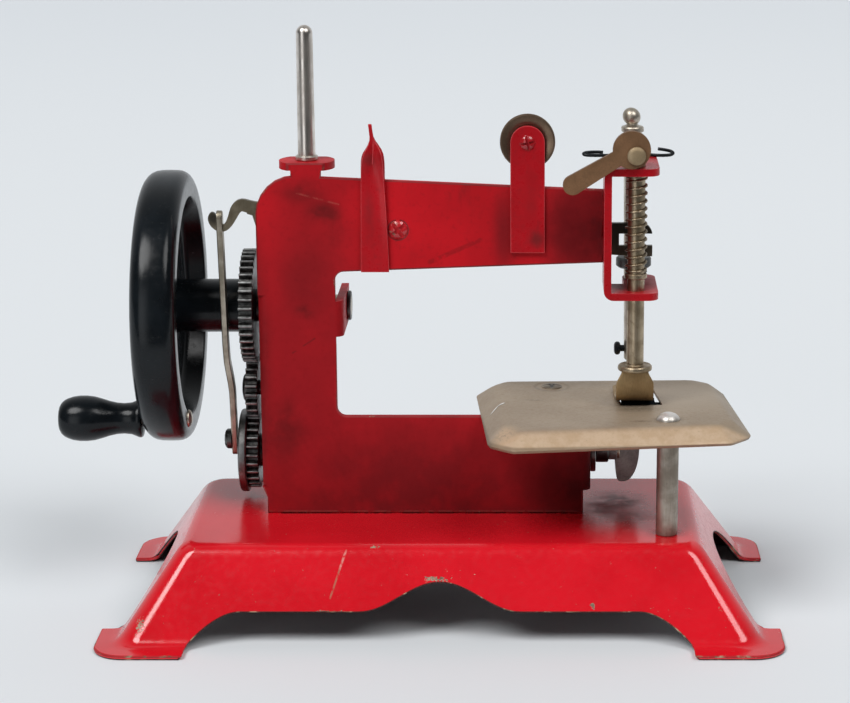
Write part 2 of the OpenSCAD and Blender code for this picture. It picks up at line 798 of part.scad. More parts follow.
// The foot hangs from the bar's ring, slopes back to the needle and lies on the bed
module presser_foot() {
    neck_w = 7.2;
    sole_w = 10.6;
    sole_back = 3.6;
    knee_up = 5.6;
    knee_z = bed_z + knee_up;
    toe_run = 8;
    toe_y = presser_y + toe_run;
    plate_t = sole_t;
    hole_d = 3 * needle_d;
    side_section = [
        [presser_y - plate_t, ring_z], [presser_y - plate_t, knee_z], [toe_y, sole_z],
        [needle_y + sole_back, sole_z], [needle_y + sole_back, sole_z + sole_t],
        [toe_y + plate_t / 2, sole_z + sole_t], [presser_y, knee_z + plate_t / 2], [presser_y, ring_z]];
    color(bronze) difference() {
        intersection() {
            plate_x(bar_x - sole_w, 2 * sole_w) polygon(side_section);
            plate_y(bracket_y0, bracket_y1 - bracket_y0 + sole_back) translate([bar_x, 0]) polygon([
                [-neck_w / 2, ring_z], [neck_w / 2, ring_z],
                [sole_w / 2, knee_z + ring_t], [sole_w / 2, bed_z],
                [-sole_w / 2, bed_z], [-sole_w / 2, knee_z + ring_t]]);
        }
        translate([bar_x, needle_y, bed_z]) cylinder(h = sole_gap + sole_t + over, d = hole_d);
    }
}

// Presser spring: one unbroken wire round the bar, with both ends turned square to what they meet
spring_sides = 6;
spring_rings = 8;
spring_air = 0.25;
spring_r = presser_bar_d / 2 + spring_air + spring_wire / 2;
spring_low = spring_seat_z + spring_seat_h + sole_gap;
spring_high = bracket_top_z - bracket_t - sole_gap;
spring_turn_in = spring_wire;
spring_z0 = spring_low + spring_wire + spring_turn_in;
spring_z1 = spring_high - spring_wire - spring_turn_in;
bend_steps = 3;

// A point of the wire's middle line: angle round the bar, height and step aside along the turn
function wire_point(a, z, aside) =
    [spring_r * cos(a) - aside * sin(a), spring_r * sin(a) + aside * cos(a), z];

spring_turn_angle = 360 * spring_turns;
spring_count = spring_rings * spring_turns;
low_end = concat(
    [[0, spring_low, -spring_turn_in]],
    [for (i = [0 : bend_steps - 1]) let (b = 90 * i / bend_steps)
        [0, spring_z0 - spring_turn_in * (1 - sin(b)), -spring_turn_in * cos(b)]]);
coil = [for (i = [0 : spring_count]) let (s = i / spring_count)
    [spring_turn_angle * s, spring_z0 + (spring_z1 - spring_z0) * s, 0]];
high_end = [for (i = [len(low_end) - 1 : -1 : 0])
    [spring_turn_angle, spring_low + spring_high - low_end[i][1], -low_end[i][2]]];
spring_route = concat(low_end, coil, high_end);
spring_line = [for (p = spring_route) wire_point(p[0], p[1], p[2])];

function unit(v) = v / norm(v);
function spring_way(i) = unit(spring_line[min(i + 1, len(spring_line) - 1)] - spring_line[max(i - 1, 0)]);

// A ring of the wire's skin about its middle line
function spring_ring(i) = let (
    way = spring_way(i),
    out0 = [cos(spring_route[i][0]), sin(spring_route[i][0]), 0],
    out = unit(out0 - way * (out0 * way)),
    aside = cross(way, out))
    [for (k = [0 : spring_sides - 1]) let (a = 360 * k / spring_sides)
        spring_line[i] + (out * cos(a) + aside * sin(a)) * spring_wire / 2];

spring_last = len(spring_line) - 1;
spring_least_gap = min([for (i = [0 : spring_last], j = [i + spring_rings - 2 : spring_last])
    if (j <= spring_last) norm(spring_line[i] - spring_line[j])]) - spring_wire;
echo(spring_least_gap = spring_least_gap);

module presser_spring() {
    last = len(spring_line) - 1;
    points = [for (i = [0 : last]) each spring_ring(i)];
    n = spring_sides;
    skin = [for (i = [0 : last - 1], k = [0 : n - 1]) let (
            a = i * n + k, b = i * n + (k + 1) % n, c = a + n, d = b + n) each [[a, c, b], [b, c, d]]];
    low_cap = [for (k = [1 : n - 2]) [0, k, k + 1]];
    high_cap = [for (k = [1 : n - 2]) [last * n, last * n + k + 1, last * n + k]];
    color(nickel) translate([bar_x, presser_y, 0]) polyhedron(points, concat(skin, low_cap, high_cap));
}

// Lifter places
lifter_t = 1.6;
lifter_y1 = presser_y - presser_bar_d / 2 - pass_gap;
lifter_y0 = bracket_y0 - pass_gap;
lifter_droop = 28;
lifter_arm_w = 5.6;
lifter_lean = 17;
lifter_step = 0.2;
lifter_head_d = 4.9;
lifter_head_h = 1;

// A round cam about an offset centre, with a flat arm before it that hangs to the left
module lifter_lever() {
    cam_x = -lifter_offset * sin(lifter_lean);
    cam_z = lifter_offset * cos(lifter_lean);
    color(brown_steel) difference() {
        union() {
            plate_y(lifter_y0, lifter_y1 - lifter_y0) translate([bar_x + cam_x, lifter_pin_z + cam_z])
                circle(r = lifter_cam_r);
            plate_y(lifter_y0 - lifter_t, lifter_t) translate([bar_x, lifter_pin_z]) {
                translate([cam_x, cam_z]) circle(r = lifter_cam_r - lifter_step);
                rotate(180 + lifter_droop) {
                    translate([0, -lifter_arm_w / 2]) square([lifter_arm_l, lifter_arm_w]);
                    translate([lifter_arm_l, 0]) circle(d = lifter_arm_w);
                }
            }
        }
        along_y(bar_x, lifter_y0 - lifter_t - over, lifter_pin_z)
            cylinder(h = lifter_y1 - lifter_y0 + lifter_t + 2 * over, d = lifter_pin_d + 2 * run_fit);
    }
}

module lifter_pin() {
    front_y = lifter_y0 - lifter_t - run_fit;
    color(brown_steel) {
        along_y(bar_x, front_y, lifter_pin_z)
            cylinder(h = presser_y + presser_bar_d / 2 - front_y, d = lifter_pin_d);
        along_y(bar_x, front_y - lifter_head_h, lifter_pin_z) cylinder(h = lifter_head_h, d = lifter_head_d);
    }
}

// Needle bar places
needle_bar_foot = 9;
needle_bar_z = bed_z + needle_bar_foot;
needle_bar_up = 5.8;
needle_flange_z = bracket_top_z + needle_bar_up;
needle_flange_h = 1.3;
needle_flange_d = 6;
needle_neck_d = 2.8;
needle_neck_h = 1.6;
needle_ball_d = 4.7;
needle_screw_up = 3.2;
needle_screw_z = needle_bar_z + needle_screw_up;
needle_screw_d = 1.6;
needle_hole_depth = 8;
drive_pin_depth = needle_bar_d / 2;

module needle_bar() {
    ball_r = needle_ball_d / 2;
    color(nickel) difference() {
        translate([bar_x, needle_y, 0]) {
            translate([0, 0, needle_bar_z]) cylinder(h = needle_flange_z - needle_bar_z, d = needle_bar_d);
            translate([0, 0, needle_flange_z]) cylinder(h = needle_flange_h, d = needle_flange_d);
            translate([0, 0, needle_flange_z + needle_flange_h])
                cylinder(h = needle_neck_h + ball_r, d = needle_neck_d);
            translate([0, 0, needle_flange_z + needle_flange_h + needle_neck_h + ball_r]) sphere(ball_r);
        }
        translate([bar_x, needle_y, needle_bar_z - over])
            cylinder(h = needle_hole_depth + over, d = needle_d);
        along_x(bar_x - needle_bar_d, needle_y, needle_screw_z)
            cylinder(h = needle_bar_d - needle_d / 2, d = needle_screw_d);
        along_y(bar_x, needle_y - needle_bar_d, fork_z) cylinder(h = needle_bar_d, d = drive_pin_d);
    }
}

module needle_collar() {
    collar_d = 9;
    collar_h = 2.5;
    collar_up = 3.2;
    color(dark_steel) translate([bar_x, needle_y, bracket_low_z + bracket_t + collar_up]) difference() {
        cylinder(h = collar_h, d = collar_d);
        translate([0, 0, -over]) cylinder(h = collar_h + 2 * over, d = needle_bar_d);
    }
}

module needle() {
    point_l = 4;
    under_bed = 8.5;
    tip_z = bed_z - under_bed;
    top_z = needle_bar_z + needle_hole_depth;
    color(nickel) translate([bar_x, needle_y, 0]) {
        translate([0, 0, tip_z + point_l]) cylinder(h = top_z - tip_z - point_l, d = needle_d);
        translate([0, 0, tip_z]) cylinder(h = point_l, d1 = needle_d / 4, d2 = needle_d);
    }
}

module needle_screw() {
    head_d = 2.9;
    head_l = 1.7;
    neck_l = 0.9;
    head_x = bar_x - needle_bar_d / 2 - neck_l - head_l;
    color(black_gloss) {
        along_x(head_x, needle_y, needle_screw_z) cylinder(h = head_l, d = head_d);
        along_x(head_x + head_l, needle_y, needle_screw_z)
            cylinder(h = neck_l + needle_bar_d / 2 - needle_d / 2, d = needle_screw_d);
    }
}

// The pin that the rocker's fork lifts the needle bar by
module drive_pin() {
    front_y = rocker_y - pass_gap / 2;
    color(dark_steel) along_y(bar_x, front_y, fork_z) cylinder(h = needle_y - front_y, d = drive_pin_d);
}

// Outline of the rocker: hooked tail, beam and forked nose, in X and Z
module rocker_outline() {
    nose_x = bar_x + fork_end;
    fork_top = fork_z + fork_h / 2;
    fork_low = fork_z - fork_h / 2;
    half = rocker_beam_h / 2;
    neck_run = 5.6;
    neck_x = hook_x + neck_run;
    crown_rise = 7.8;
    crown_z = pivot_z + crown_rise;
    band = 3.6;
    shoulder_run = 9.6;
    shoulder_x = hook_x + shoulder_run;
    lip_run = 2.3;
    lip_x = hook_x - lip_run;
    lip_t = 1.5;
    lip_h = 4;
    r = hook_bead_r;
    throat_share = 0.8;
    throat = r * throat_share;
    difference() {
        union() {
            translate([pivot_x, pivot_z]) circle(r = rocker_boss_r);
            polygon(concat(
                [[pivot_x, pivot_z - half], [nose_x - fork_round_r, fork_low]],
                [[nose_x, fork_low], [nose_x, fork_top - fork_round_r]],
                arc(nose_x - fork_round_r, fork_top - fork_round_r, fork_round_r, 0, 90),
                [[bar_x - bar_in + bracket_t, fork_top], [pivot_x, pivot_z + half]]));
            polygon([
                [pivot_x, pivot_z + half], [shoulder_x, crown_z - r / 2], [neck_x, crown_z],
                [hook_x + r, hook_z + throat], [hook_x, hook_z + throat], [lip_x, hook_z + throat],
                [lip_x, hook_z + lip_h], [lip_x - lip_t, hook_z + lip_h],
                [lip_x - lip_t, hook_z - r / 4], [lip_x, hook_z - throat], [hook_x, hook_z - throat],
                [hook_x + 2 * r, hook_z - throat], [neck_x + r / 4, crown_z - band],
                [shoulder_x - r / 2, crown_z - band - r / 2], [shoulder_x + r / 2, pivot_z - half / 2],
                [pivot_x, pivot_z - half]]);
            translate([hook_x, hook_z]) circle(r = hook_bead_r);
        }
        translate([bar_x - fork_slot_in, fork_z - fork_slot_h / 2])
            square([fork_slot_in + fork_end + over, fork_slot_h]);
    }
}

module rocker() {
    color(bronze) difference() {
        plate_y(rocker_y, rocker_t) rocker_outline();
        along_y(pivot_x, rocker_y - over, pivot_z)
            cylinder(h = rocker_t + 2 * over, d = rocker_pin_d + 2 * run_fit);
    }
}

module rocker_pivot() {
    shoulder_step = 1.5;
    shoulder_d = rocker_pin_d + 2 * shoulder_step;
    tail_y = rocker_y + rocker_t + run_fit;
    color(red_paint) {
        along_y(pivot_x, frame_y, pivot_z) cylinder(h = tail_y - frame_y, d = rocker_pin_d);
        along_y(pivot_x, frame_y, pivot_z) mirror([0, 0, 1]) dome(rocker_head_d, rocker_head_h);
        along_y(pivot_x, frame_back_y, pivot_z) cylinder(h = rocker_gap - run_fit, d = shoulder_d);
        along_y(pivot_x, tail_y, pivot_z) cylinder(h = peen_h, d = shoulder_d);
    }
}

// Edge of the link in X and Z: straight, then stepped toward the crank below its middle
module link_side() {
    bend_share = 0.5;
    low_share = 0.68;
    knee = -link_l * bend_share;
    low = -link_l * low_share;
    end = -link_l - link_w;
    polygon([
        [link_x0, link_head], [link_x0, knee], [link_x0 + link_step, low], [link_x0 + link_step, end],
        [link_x0 + link_t + link_step, end], [link_x0 + link_t + link_step, low],
        [link_x0 + link_t, knee], [link_x0 + link_t, link_head]]);
}

// The strip from the rocker's hook down to the crank, leaning back from hook to crank
module drive_link() {
    slot_w = rocker_t + 2 * hook_fit;
    slot_h = 2 * (hook_bead_r + hook_fit);
    color(bronze) translate([0, rocker_mid_y, hook_z]) difference() {
        rotate([link_tilt, 0, 0]) intersection() {
            plate_y(-link_pin_head_d, 2 * link_pin_head_d) link_side();
            plate_x(link_x0 - over, link_t + link_step + 2 * over) difference() {
                union() {
                    translate([-link_w / 2, -link_l]) square([link_w, link_l + link_head - link_w / 2]);
                    translate([0, link_head - link_w / 2]) circle(d = link_w);
                    translate([0, -link_l]) circle(d = link_pin_d + link_w / 2);
                }
                translate([0, -link_l]) circle(d = link_pin_d);
            }
        }
        block([link_x0 - over, -slot_w / 2, -slot_h / 2], [link_x0 + link_t + over, slot_w / 2, slot_h / 2]);
    }
}

module link_pin() {
    color(dark_steel) {
        along_x(link_x0 + link_step - link_pin_head_h, crank_pin_y, crank_pin_z)
            cylinder(h = link_pin_head_h, d = link_pin_head_d);
        along_x(link_x0 + link_step, crank_pin_y, crank_pin_z) cylinder(h = link_t, d = link_pin_d);
    }
}

// Section of the hand wheel, radius by place along its axis
module wheel_section() {
    r = rim_round_r;
    inner = wheel_r - rim_depth;
    bore = wheel_shaft_d / 2;
    web_z0 = wheel_web_in;
    web_z1 = wheel_web_in + wheel_web_t;
    hub_end = wheel_w + hub_show;
    polygon(concat(
        [[bore, 0], [hub_d / 2, 0], [hub_d / 2 + web_z0, web_z0], [inner - web_z0, web_z0], [inner, 0]],
        arc(wheel_r - r, r, r, 270, 360),
        arc(wheel_r - rim_face_r, wheel_w - rim_face_r, rim_face_r, 0, 90),
        [[inner, wheel_w], [inner - web_z0, web_z1], [hub_d / 2 + web_z0, web_z1],
         [hub_d / 2, web_z1 + web_z0], [hub_d / 2, hub_end], [bore, hub_end]]));
}

module hand_wheel() {
    color(black_gloss) difference() {
        along_x(wheel_x0, shaft_y, wheel_z) rotate_extrude($fn = 96) wheel_section();
        along_x(wheel_x0 - over, knob_y, knob_z) cylinder(h = wheel_w + 2 * over, d = knob_stud_d);
    }
}

module wheel_shaft() {
    end_x = window_x + frame_t + run_fit + clip_t;
    color(nickel) along_x(wheel_x0, shaft_y, wheel_z) cylinder(h = end_x - wheel_x0, d = wheel_shaft_d);
}

// Clip that keeps the wheel's shaft in its inner bearing
module shaft_clip() {
    clip_d = 10;
    color(dark_steel) along_x(window_x + frame_t + run_fit, shaft_y, wheel_z) difference() {
        cylinder(h = clip_t, d = clip_d);
        translate([0, 0, -over]) cylinder(h = clip_t + 2 * over, d = wheel_shaft_d);
    }
}

// A spur gear blank with straight-sided teeth, one of them at angle zero plus the turn given
module gear_blank(teeth, turn) {
    root = gear_module * (teeth / 2 - dedendum_share);
    tip = gear_module * (teeth / 2 + addendum_share);
    step = 360 / teeth;
    tooth = [
        [root, -tooth_root_share], [tip, -tooth_tip_share], [tip, tooth_tip_share], [root, tooth_root_share]];
    polygon([for (i = [0 : teeth - 1], p = tooth) let (a = step * (i + p[1]) + turn)
        [p[0] * cos(a), p[0] * sin(a)]]);
}

// A gear with a boss toward the frame and a round bore
module spur_gear(x, z, teeth, turn, width, boss, bore_d) {
    along_x(x, shaft_y, z) difference() {
        union() {
            linear_extrude(width) gear_blank(teeth, turn);
            cylinder(h = width + boss, d = gear_boss_d);
        }
        translate([0, 0, -over]) cylinder(h = width + boss + 2 * over, d = bore_d);
    }
}

module drive_gear() {
    color(dark_steel) spur_gear(
        drive_x0, wheel_z, drive_teeth, 0, gear_w + drive_gear_extra, gear_gap - pass_gap, wheel_shaft_d);
}

module idler_gear() {
    color(dark_steel) spur_gear(
        gear_x0, idler_z, idler_teeth, 180 / idler_teeth, gear_w, 0, idler_stud_d + 2 * run_fit);
}

module idler_stud() {
    color(dark_steel) {
        along_x(gear_x0 - idler_float, shaft_y, idler_z)
            cylinder(h = gear_w + idler_float + gear_gap + frame_t, d = idler_stud_d);
        along_x(gear_x0 - idler_float - idler_head_h, shaft_y, idler_z)
            cylinder(h = idler_head_h, d = idler_head_d);
        along_x(gear_x1 + idler_float, shaft_y, idler_z)
            cylinder(h = gear_gap - idler_float, d = idler_shoulder_d);
        along_x(frame_x + frame_t, shaft_y, idler_z) dome(idler_shoulder_d, peen_h);
    }
}

module crank_gear() {
    color(dark_steel) spur_gear(
        gear_x0, lower_z, crank_teeth, 0, gear_w, gear_gap - pass_gap, lower_shaft_d);
}

module crank_disc() {
    color(dark_steel) difference() {
        along_x(disc_x0, shaft_y, lower_z) cylinder(h = disc_t, d = disc_d);
        along_x(disc_x0 - over, shaft_y, lower_z) cylinder(h = disc_t + 2 * over, d = lower_shaft_d);
        along_x(disc_x0 - over, crank_pin_y, crank_pin_z) cylinder(h = disc_t + 2 * over, d = link_pin_d);
    }
}

// Right end of the lower shaft: washer, cam and looper beside the bearing tab
washer_t = 1.4;
washer_d = 12;
washer_x = lower_x + frame_t + pass_gap;
cam_x = washer_x + washer_t;
cam_l = 3.8;
cam_d = 6.8;
cam_offset = 0.6;
looper_x = cam_x + cam_l;
looper_hub_l = 3;
looper_hub_d = 8;

module lower_shaft() {
    color(nickel) along_x(disc_x0, shaft_y, lower_z)
        cylinder(h = looper_x + looper_hub_l - disc_x0, d = lower_shaft_d);
}

module thrust_washer() {
    color(nickel) along_x(washer_x, shaft_y, lower_z) difference() {
        cylinder(h = washer_t, d = washer_d);
        translate([0, 0, -over]) cylinder(h = washer_t + 2 * over, d = lower_shaft_d);
    }
}

module feed_cam() {
    color(dark_steel) difference() {
        along_x(cam_x, shaft_y, lower_z + cam_offset) cylinder(h = cam_l, d = cam_d);
        along_x(cam_x - over, shaft_y, lower_z) cylinder(h = cam_l + 2 * over, d = lower_shaft_d);
    }
}

// A hub with a horn that curves down and back to a point, in X and Z
module looper() {
    reach = 8.8;
    horn_l = 7.4;
    horn_t = 2.4;
    horn = [for (i = [0 : 2 * arc_steps]) let (a = 90 * i / (2 * arc_steps))
        [horn_l * cos(a), -reach * sin(a)]];
    inner_share = 0.32;
    inner = [for (i = [2 * arc_steps : -1 : 0]) let (a = 90 * i / (2 * arc_steps))
        [horn_l * inner_share * cos(a), -reach * (inner_share + (1 - inner_share) * sin(a)) * sin(a)]];
    color(nickel) difference() {
        union() {
            along_x(looper_x, shaft_y, lower_z) cylinder(h = looper_hub_l, d = looper_hub_d);
            plate_y(shaft_y - horn_t / 2, horn_t) translate([looper_x, lower_z])
                polygon(concat([[0, 0]], horn, inner));
        }
        along_x(looper_x - over, shaft_y, lower_z) cylinder(h = looper_hub_l + over, d = lower_shaft_d);
    }
}

// An eight-sided slice of the bed with clipped corners
module bed_slice(l, w, clip, z) {
    translate([bed_x, bed_y, z]) linear_extrude(slice_t) polygon([
        [l / 2 - clip, -w / 2], [l / 2, clip - w / 2], [l / 2, w / 2 - clip], [l / 2 - clip, w / 2],
        [clip - l / 2, w / 2], [-l / 2, w / 2 - clip], [-l / 2, clip - w / 2], [clip - l / 2, -w / 2]]);
}

// The bed's outer form, lowered by a sheet for its hollow
module bed_form(lower) {
    hull() {
        bed_slice(bed_top_l, bed_top_w, bed_clip * bed_clip_top_share, bed_z - slice_t - lower);
        bed_slice(bed_low_l, bed_low_w, bed_clip, bed_z - bed_edge_drop - lower);
    }
}

module bed_plate() {
    color(bed_finish) difference() {
        bed_form(0);
        bed_form(bed_t);
        block([slot_x0, slot_y1 - slot_w, bed_z - bed_edge_drop], [slot_x0 + slot_l, slot_y1, bed_z + over]);
        translate([bed_rivet_x, bed_rivet_y, bed_z - bed_edge_drop])
            cylinder(h = bed_edge_drop + over, d = bed_rivet_d);
        translate([post_x, post_y, bed_z - bed_edge_drop])
            cylinder(h = bed_edge_drop + over, d = post_shank_d);
    }
}

module bed_rivet() {
    low_z = bed_z - bed_t - frame_t;
    color(bed_finish) translate([bed_rivet_x, bed_rivet_y, 0]) {
        translate([0, 0, low_z]) cylinder(h = bed_t + frame_t, d = bed_rivet_d);
        translate([0, 0, bed_z]) dome(bed_rivet_head_d, bed_rivet_head_h);
        translate([0, 0, low_z]) mirror([0, 0, 1]) dome(bed_rivet_head_d, bed_rivet_head_h);
    }
}

module bed_post() {
    color(nickel) translate([post_x, post_y, 0]) {
        translate([0, 0, base_h]) cylinder(h = bed_up - bed_t, d = post_d);
        translate([0, 0, base_h - base_t]) cylinder(h = bed_up + base_t, d = post_shank_d);
        translate([0, 0, bed_z]) dome(post_dome_d, post_dome_h);
        translate([0, 0, base_h - base_t]) mirror([0, 0, 1]) dome(post_dome_d, post_dome_h);
    }
}

// Feed places under the bed's slot
dog_travel = 1;
dog_l = 9;
dog_w = 6.8;
dog_top_gap = 0.2;
shoe_t = 1.4;
shoe_side = 3;
tooth_count = 6;
dog_x0 = slot_x0 + (slot_l - dog_l) / 2;
dog_y0 = slot_y1 - slot_w + dog_travel + pass_gap;
shoe_z1 = bed_z - bed_t - pass_gap;
strap_w = 4;
strap_t = 1.4;
strap_end = 3.3;

module feed_dog() {
    top_z = bed_z - dog_top_gap;
    tooth = dog_w / tooth_count;
    crest = tooth / 2;
    color(dark_steel) {
        block([dog_x0 - shoe_side, dog_y0, shoe_z1 - shoe_t],
            [dog_x0 + dog_l + shoe_side, dog_y0 + dog_w, shoe_z1]);
        plate_x(dog_x0, dog_l) polygon(concat(
            [[dog_y0, shoe_z1 - shoe_t]],
            [for (i = [0 : tooth_count - 1]) each [
                [dog_y0 + tooth * i, top_z - crest], [dog_y0 + tooth * (i + 1) - tooth / 4, top_z]]],
            [[dog_y0 + dog_w, top_z - crest], [dog_y0 + dog_w, shoe_z1 - shoe_t]]));
    }
}

// The strap that the feed dog's shoe slides on, fixed to the bed's underside at both ends
module feed_guide() {
    x0 = dog_x0 - shoe_side - pass_gap;
    x1 = dog_x0 + dog_l + shoe_side + pass_gap;
    mid_y = dog_y0 + dog_w / 2;
    low_z = shoe_z1 - shoe_t - slide_fit - strap_t;
    top_z = bed_z - bed_t;
    color(dark_steel) {
        block([x0 - strap_end, mid_y - strap_w / 2, low_z],
            [x1 + strap_end, mid_y + strap_w / 2, low_z + strap_t]);
        block([x0 - strap_end, mid_y - strap_w / 2, low_z], [x0, mid_y + strap_w / 2, top_z]);
        block([x1, mid_y - strap_w / 2, low_z], [x1 + strap_end, mid_y + strap_w / 2, top_z]);
    }
}

// Section of the crank knob, radius by distance from the wheel
module knob_section() {
    r = knob_d / 2;
    bore = knob_stud_d / 2 + run_fit;
    bore_l = knob_l * knob_bore_share;
    flare_share = 0.79;
    neck_share = 0.68;
    neck_at_share = 0.17;
    belly_at_share = 0.62;
    rise = [for (i = [0 : arc_steps]) let (s = i / arc_steps, ease = (1 - cos(180 * s)) / 2)
        [r * (neck_share + (1 - neck_share) * ease),
         knob_l * (neck_at_share + (belly_at_share - neck_at_share) * s)]];
    close = [for (i = [1 : 2 * arc_steps]) let (s = sin(90 * i / (2 * arc_steps)))
        [r * sqrt(1 - pow(s, 4)), knob_l * (belly_at_share + (1 - belly_at_share) * s)]];
    polygon(concat(
        [[bore, 0], [r * flare_share, 0], [r * flare_share, knob_l * neck_at_share / 4]],
        rise, close, [[0, bore_l], [bore, bore_l]]));
}

module crank_knob() {
    color(black_gloss) along_x(wheel_x0 - knob_gap, knob_y, knob_z)
        mirror([0, 0, 1]) rotate_extrude() knob_section();
}

module knob_stud() {
    bore_l = knob_l * knob_bore_share;
    head_share = 1.6;
    head_d = knob_stud_d * head_share;
    color(nickel) {
        along_x(wheel_x0 - knob_gap - bore_l + pass_gap, knob_y, knob_z)
            cylinder(h = bore_l - pass_gap + knob_gap + wheel_w, d = knob_stud_d);
        along_x(wheel_x1, knob_y, knob_z) dome(head_d, peen_h);
    }
}

base();
frame();
frame_rivets();
spool_pin();
thread_guide();
tension_bracket();
front_tension_disc();
rear_tension_disc();
tension_rivet();
head_bracket();
thread_wire();
presser_bar();
presser_foot();
presser_spring();
lifter_lever();
lifter_pin();
needle_bar();
needle_collar();
needle();
needle_screw();
drive_pin();
rocker();
rocker_pivot();
drive_link();
link_pin();
hand_wheel();
wheel_shaft();
shaft_clip();
drive_gear();
crank_knob();
knob_stud();
idler_gear();
idler_stud();
crank_gear();
crank_disc();
lower_shaft();
thrust_washer();
feed_cam();
looper();
bed_plate();
bed_rivet();
bed_post();
feed_dog();
feed_guide();
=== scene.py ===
import json
import math

import bmesh
import bpy
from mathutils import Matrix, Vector


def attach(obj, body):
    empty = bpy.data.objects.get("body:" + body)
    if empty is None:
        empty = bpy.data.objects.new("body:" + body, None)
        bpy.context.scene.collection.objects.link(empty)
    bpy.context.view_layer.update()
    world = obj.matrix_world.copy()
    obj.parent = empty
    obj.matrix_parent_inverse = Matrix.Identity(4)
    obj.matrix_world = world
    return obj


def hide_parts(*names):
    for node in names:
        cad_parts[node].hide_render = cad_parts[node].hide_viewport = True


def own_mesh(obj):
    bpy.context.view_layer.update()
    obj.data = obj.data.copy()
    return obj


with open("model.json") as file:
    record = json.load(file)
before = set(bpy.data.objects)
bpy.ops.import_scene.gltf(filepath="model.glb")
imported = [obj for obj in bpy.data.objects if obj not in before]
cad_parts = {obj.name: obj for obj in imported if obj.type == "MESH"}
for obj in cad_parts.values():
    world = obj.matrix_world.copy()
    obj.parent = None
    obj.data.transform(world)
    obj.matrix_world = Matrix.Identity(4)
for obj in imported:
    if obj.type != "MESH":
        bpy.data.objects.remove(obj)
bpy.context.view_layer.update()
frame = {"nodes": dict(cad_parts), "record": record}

# A hand-cranked toy sewing machine in pressed red sheet. Lengths are in millimetres until they
# meet Blender, which works in metres.
MM = 0.001
nodes = frame["nodes"]
body_of = {n: b for b, members in frame["record"]["behaviour"]["bodies"].items() for n in members}
scene = bpy.context.scene
WAYS = {"X": Vector((1, 0, 0)), "Y": Vector((0, 1, 0)), "Z": Vector((0, 0, 1))}

# Places shared by several pieces
MID_X = 7.2
FRAME_Y, FRAME_BACK = -3.3, -1.3
STRAP_Y = -4.4
SHAFT_Y, WHEEL_Z, IDLER_Z, LOWER_Z = 13.8, 79.25, 56.0, 38.0
BASE_TOP, BED_TOP = 25.0, 56.8
BAR_X, PRESSER_Y, NEEDLE_Y = 58.7, -9.0, 6.3
BRACKET_LOW = 86.6
TENSION_X, TENSION_Z = 30.1, 127.05
PIVOT_X, PIVOT_Z = -4.3, 103.6
RIVET_X, RIVET_Y = 36.7, 11.0
BED_MID, BED_YAW = (52.2, -5.7), 4.8
POST_X, POST_Y = 67.0, -21.5


# Shader nodes

class Nodes:
    """Adds nodes to a shader tree. Most methods give back the socket that carries the result."""

    def __init__(self, tree):
        self.tree = tree

    def feed(self, socket, value):
        """Links a socket to another, or sets a plain value on it."""
        if isinstance(value, bpy.types.NodeSocket):
            self.tree.links.new(value, socket)
        else:
            socket.default_value = (*value, 1) if socket.type == "RGBA" else value

    def node(self, kind, feeds=None, **settings):
        node = self.tree.nodes.new("ShaderNode" + kind)
        for key, value in settings.items():
            setattr(node, key, value)
        for socket, value in (feeds or {}).items():
            self.feed(node.inputs[socket], value)
        return node

    def sums(self, how, a, b=0.0):
        return self.node("Math", {0: a, 1: b}, operation=how).outputs[0]

    def times(self, a, b):
        return self.sums("MULTIPLY", a, b)

    def plus(self, a, b):
        return self.sums("ADD", a, b)

    def most(self, values):
        """The largest of several values at each point."""
        top = values[0]
        for value in values[1:]:
            top = self.sums("MAXIMUM", top, value)
        return top

    def vectors(self, how, a, b=(0, 0, 0), out="Vector"):
        return self.node("VectorMath", {0: a, 1: b}, operation=how).outputs[out]

    def length(self, a):
        return self.vectors("LENGTH", a, out="Value")

    def level(self, value, low, high, to_low=0.0, to_high=1.0, ease="SMOOTHSTEP"):
        """Spreads a value between two levels, eased at both ends."""
        feeds = {"Value": value, "From Min": low, "From Max": high, "To Min": to_low, "To Max": to_high}
        return self.node("MapRange", feeds, interpolation_type=ease).outputs["Result"]

    def blend(self, share, below, above):
        return self.node("Mix", {0: share, 6: below, 7: above}, data_type="RGBA").outputs[2]


